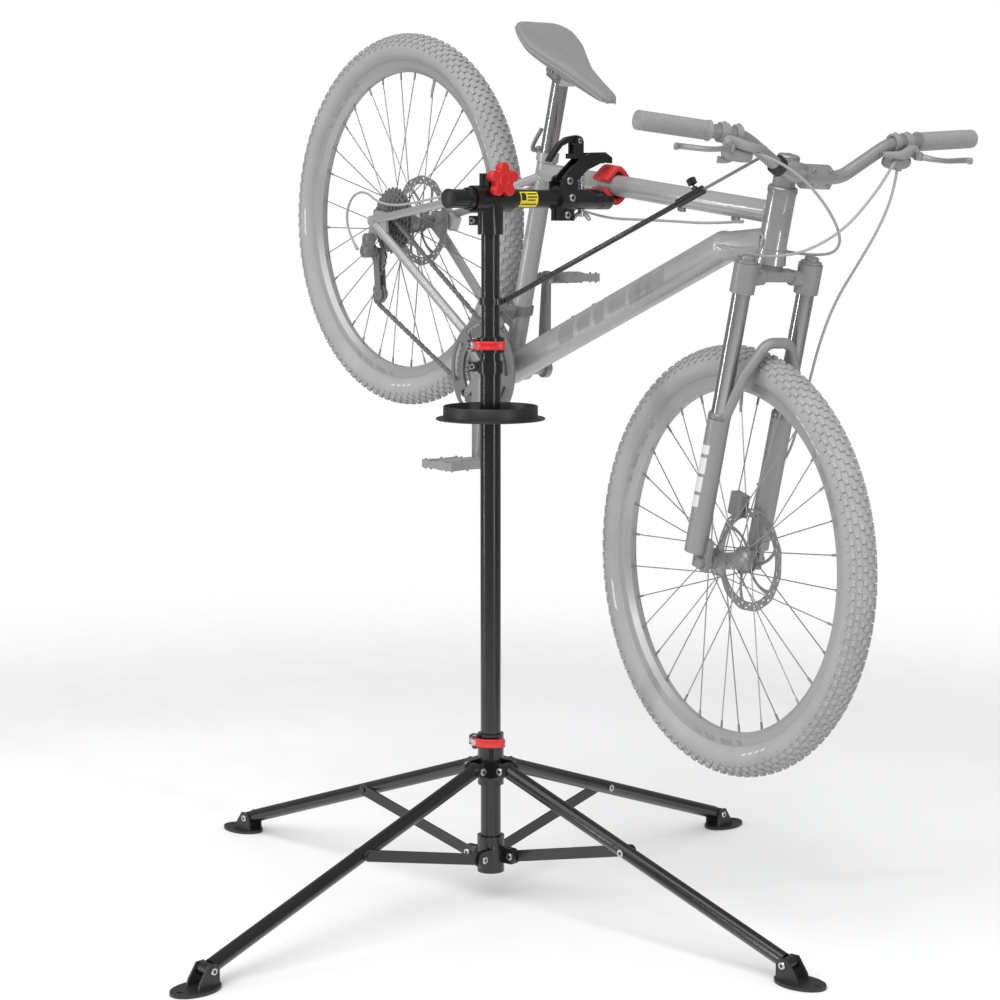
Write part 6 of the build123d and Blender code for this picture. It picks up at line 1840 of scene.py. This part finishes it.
        yellow = Shape().add(patch(54, 92, -62, 48, self.arm_radius))
        piece("arm_label", yellow, "clamp_arm", YELLOW_LABEL, (), 50)
        dark = Shape()
        for low, high, first, last in ((56, 66, -10, 38), (69, 90, 26, 36), (69, 90, 6, 15),
                (69, 86, -12, -4), (56, 90, -40, -32)):
            dark.add(patch(low, high, first, last, self.arm_radius + 0.12))
        piece("arm_label_print", dark, "clamp_arm", DARK_PRINT, (), 50)
        cap = Shape()
        axes = Axes(STAND.mm(0, 0, self.arm_height), STAND.x, STAND.y, STAND.z)
        cap.add(revolved([(0, -95.2), (8, -94.8), (13.5, -93.6), (16.6, -91.2), (16.6, -86), (0, -86)], axes,
            48))
        piece("arm_end_cap", cap, "clamp_arm", BLACK_MOULD, (), 36)

    def holder(self) -> None:
        """Knurled thumb screw and wing nut."""
        way = joint_axis("rod_screw_turn")
        base = joint_point("rod_screw_turn") - way * 0.020
        right = unit(np.cross(way, STAND.y))
        axes = Axes(base, right, way, np.cross(right, way))
        count = 144
        radius = 7.4 + 0.45 * np.cos(np.arange(count) * FULL_TURN / 6)
        shape = Shape().add(washer_ring(radius, 2.0, 16, 26, axes, None, (0.6,)))
        shape.add(revolved([(0, 4.6), (1.85, 4.6), (1.85, 15), (5.2, 15.4), (6.2, 16.2), (0, 16.2)], axes,
            28))
        shape.add(revolved([(0, 25.8), (5.4, 25.8), (5, 27), (0, 27)], axes, 32))
        piece("thumb_screw", shape, "rod_screw", BLACK_MOULD, ["rod_screw"], 32)
        nut = Shape()
        low = 1207.5
        post = Axes(STAND.mm(0, 201, low), STAND.y, STAND.z, STAND.x)
        nut.add(revolved([(0, -6), (3.6, -6), (3.9, -5), (7.0, -4.6), (6.2, 4.6), (5.4, 5.4), (3.9, 5.6),
            (3.9, 88), (3.2, 88.6), (0, 88.6)], post, 32))
        for side in (-1, 1):
            spine = np.array([(0, side * 4, 1), (0, side * 12, -3), (0, side * 20, -12)]) * MM
            path = smooth_path(STAND.mm(0, 201, low) + spine @ np.stack([STAND.x, STAND.y, STAND.z]), 12)
            nut.add(carried(path, rounded(4.2, 12, 1.8),
                np.interp(np.linspace(0, 1, 12), [0, 0.8, 1], [1.0, 1.0, 0.7]), False, STAND.x))
        piece("wing_nut", nut, "wing_bolt", BOLT_STEEL, ["wing_bolt"], 38)

    def build(self) -> None:
        """Builds the stand."""
        self.painted()
        self.pads()
        self.bolts()
        self.knob()
        self.levers()
        self.tray()
        self.label()
        self.holder()


# ------------------------------------------------------------------ stage
FLOOR_RINGS = (0.0, 0.6, 1.5, 3.0, 6.0, 14.0)
"""Radii of the floor disc, in metres."""
FLOOR_FADE_START = 1.1
"""Radius where the floor starts to fade, in metres."""
FLOOR_FADE_END = 3.4
"""Radius where the floor is gone, in metres."""
SURROUND_ON_MATT = 0.62
"""Strength of the surroundings on matt surfaces."""
SURROUND_IN_GLOSS = 0.3
"""Strength of the surroundings in reflections."""
LIGHT_TARGET = (0.1, 0.1, 0.85)
"""Point that every area light faces."""
LIGHT_POWER = 34
"""Power of each area light, in watts."""
STRIP_SIZE = (0.14, 3.0)
"""Width and height of a tall strip, in metres."""
PANEL_SIZE = (1.4, 1.4)
"""Width and height of the key panel, in metres."""
SUN_STRENGTH = 2.0
"""Strength of the soft sun."""
SUN_SPREAD_DEGREES = 60
"""Angle that the soft sun covers."""


def build_stage() -> None:
    """Pale floor disc that fades into the white surroundings, lights and camera."""
    rings = np.array(FLOOR_RINGS) * 1000
    profile = np.column_stack([rings, np.zeros(6)])
    centre = Axes(np.array([0.0, 0.0, -0.0005]), np.array([1.0, 0, 0]), np.array([0, 0, 1.0]),
        np.array([0, -1.0, 0]))
    shape = Shape().add(revolved(np.concatenate([profile, profile[::-1] + [0, -2]]), centre, 96))
    floor = bpy.data.objects.new("floor_disc", shape.mesh("floor_disc", 30))
    bpy.context.scene.collection.objects.link(floor)
    material = FLOOR.material()
    floor.data.materials.append(material)
    tree = material.node_tree
    far = tree.nodes.new("ShaderNodeVectorMath")
    far.operation = "LENGTH"
    tree.links.new(tree.nodes.new("ShaderNodeTexCoord").outputs["Object"], far.inputs[0])
    fade = tree.nodes.new("ShaderNodeMapRange")
    fade.interpolation_type = "SMOOTHSTEP"
    fade.inputs["From Min"].default_value = FLOOR_FADE_START
    fade.inputs["From Max"].default_value = FLOOR_FADE_END
    fade.inputs["To Min"].default_value = 1.0
    fade.inputs["To Max"].default_value = 0.0
    tree.links.new(far.outputs["Value"], fade.inputs["Value"])
    tree.links.new(fade.outputs["Result"], tree.nodes["Principled BSDF"].inputs["Alpha"])
    build_lights()
    build_camera()


def area_light(name: str, place: Sequence[float], target: Sequence[float], size: tuple[float, float],
        power: float) -> None:
    """Rectangular soft light aimed at a point."""
    data = bpy.data.lights.new(name, "AREA")
    data.shape = "RECTANGLE"
    data.size, data.size_y = size
    data.energy = power
    obj = bpy.data.objects.new(name, data)
    bpy.context.scene.collection.objects.link(obj)
    obj.location = place
    obj.rotation_euler = (Vector(target) - Vector(place)).to_track_quat("-Z", "Y").to_euler()
    obj.visible_camera = False


def build_lights() -> None:
    """White surroundings that are dimmer in reflections, two tall strips, a key panel and a soft sun."""
    world = bpy.data.worlds.new("studio")
    world.use_nodes = True
    tree = world.node_tree
    paths = tree.nodes.new("ShaderNodeLightPath")
    shown = tree.nodes["Background"]
    shown.inputs["Color"].default_value = (1, 1, 1, 1)
    shown.inputs["Strength"].default_value = 1.0
    around = tree.nodes.new("ShaderNodeBackground")
    around.inputs["Color"].default_value = (0.97, 0.985, 1.0, 1)
    around.inputs["Strength"].default_value = SURROUND_ON_MATT
    mirrored = tree.nodes.new("ShaderNodeBackground")
    mirrored.inputs["Color"].default_value = (1, 1, 1, 1)
    mirrored.inputs["Strength"].default_value = SURROUND_IN_GLOSS
    gloss = tree.nodes.new("ShaderNodeMixShader")
    tree.links.new(paths.outputs["Is Glossy Ray"], gloss.inputs["Fac"])
    tree.links.new(around.outputs["Background"], gloss.inputs[1])
    tree.links.new(mirrored.outputs["Background"], gloss.inputs[2])
    mix = tree.nodes.new("ShaderNodeMixShader")
    tree.links.new(paths.outputs["Is Camera Ray"], mix.inputs["Fac"])
    tree.links.new(gloss.outputs["Shader"], mix.inputs[1])
    tree.links.new(shown.outputs["Background"], mix.inputs[2])
    tree.links.new(mix.outputs["Shader"], tree.nodes["World Output"].inputs["Surface"])
    bpy.context.scene.world = world
    area_light("left_strip", (-1.5, -3.4, 1.4), LIGHT_TARGET, STRIP_SIZE, LIGHT_POWER)
    area_light("right_strip", (4.3, 0.3, 1.4), LIGHT_TARGET, STRIP_SIZE, LIGHT_POWER)
    area_light("key_panel", (2.2, -3.4, 3.2), LIGHT_TARGET, PANEL_SIZE, LIGHT_POWER)
    sun = bpy.data.lights.new("soft_sun", "SUN")
    sun.energy = SUN_STRENGTH
    sun.angle = math.radians(SUN_SPREAD_DEGREES)
    holder = bpy.data.objects.new("soft_sun", sun)
    bpy.context.scene.collection.objects.link(holder)
    holder.rotation_euler = (math.radians(28), math.radians(18), 0)


CAMERA_FROM_POLE = (3.1737, -2.4234, 1.2177)
CAMERA_AZIMUTH = math.radians(52.4)
CAMERA_DIP = math.radians(7.2)
CAMERA_LENS = 83.3


def build_camera() -> None:
    """Camera on the right of the bicycle's front, set by its place from the pole's foot, azimuth and dip."""
    data = bpy.data.cameras.new("camera")
    data.lens = CAMERA_LENS
    data.sensor_width = 36.0
    data.clip_end = 60.0
    camera = bpy.data.objects.new("camera", data)
    bpy.context.scene.collection.objects.link(camera)
    camera.location = STAND.at(np.array(CAMERA_FROM_POLE))
    view = Vector((-math.sin(CAMERA_AZIMUTH) * math.cos(CAMERA_DIP),
        math.cos(CAMERA_AZIMUTH) * math.cos(CAMERA_DIP),
                   -math.sin(CAMERA_DIP)))
    camera.rotation_euler = view.to_track_quat("-Z", "Y").to_euler()
    bpy.context.scene.camera = camera
    bpy.context.scene.view_settings.view_transform = "Standard"


def main() -> None:
    """Builds the assemblies in order, then the stage."""
    logging.basicConfig(level=logging.INFO, format="%(name)s: %(message)s")
    Stand().build()
    build_wheels()
    Drivetrain().build()
    BikeFrame().build()
    FrontEnd().build()
    build_cables()
    Seat().build()
    build_stage()


if __name__ == "__main__":
    main()
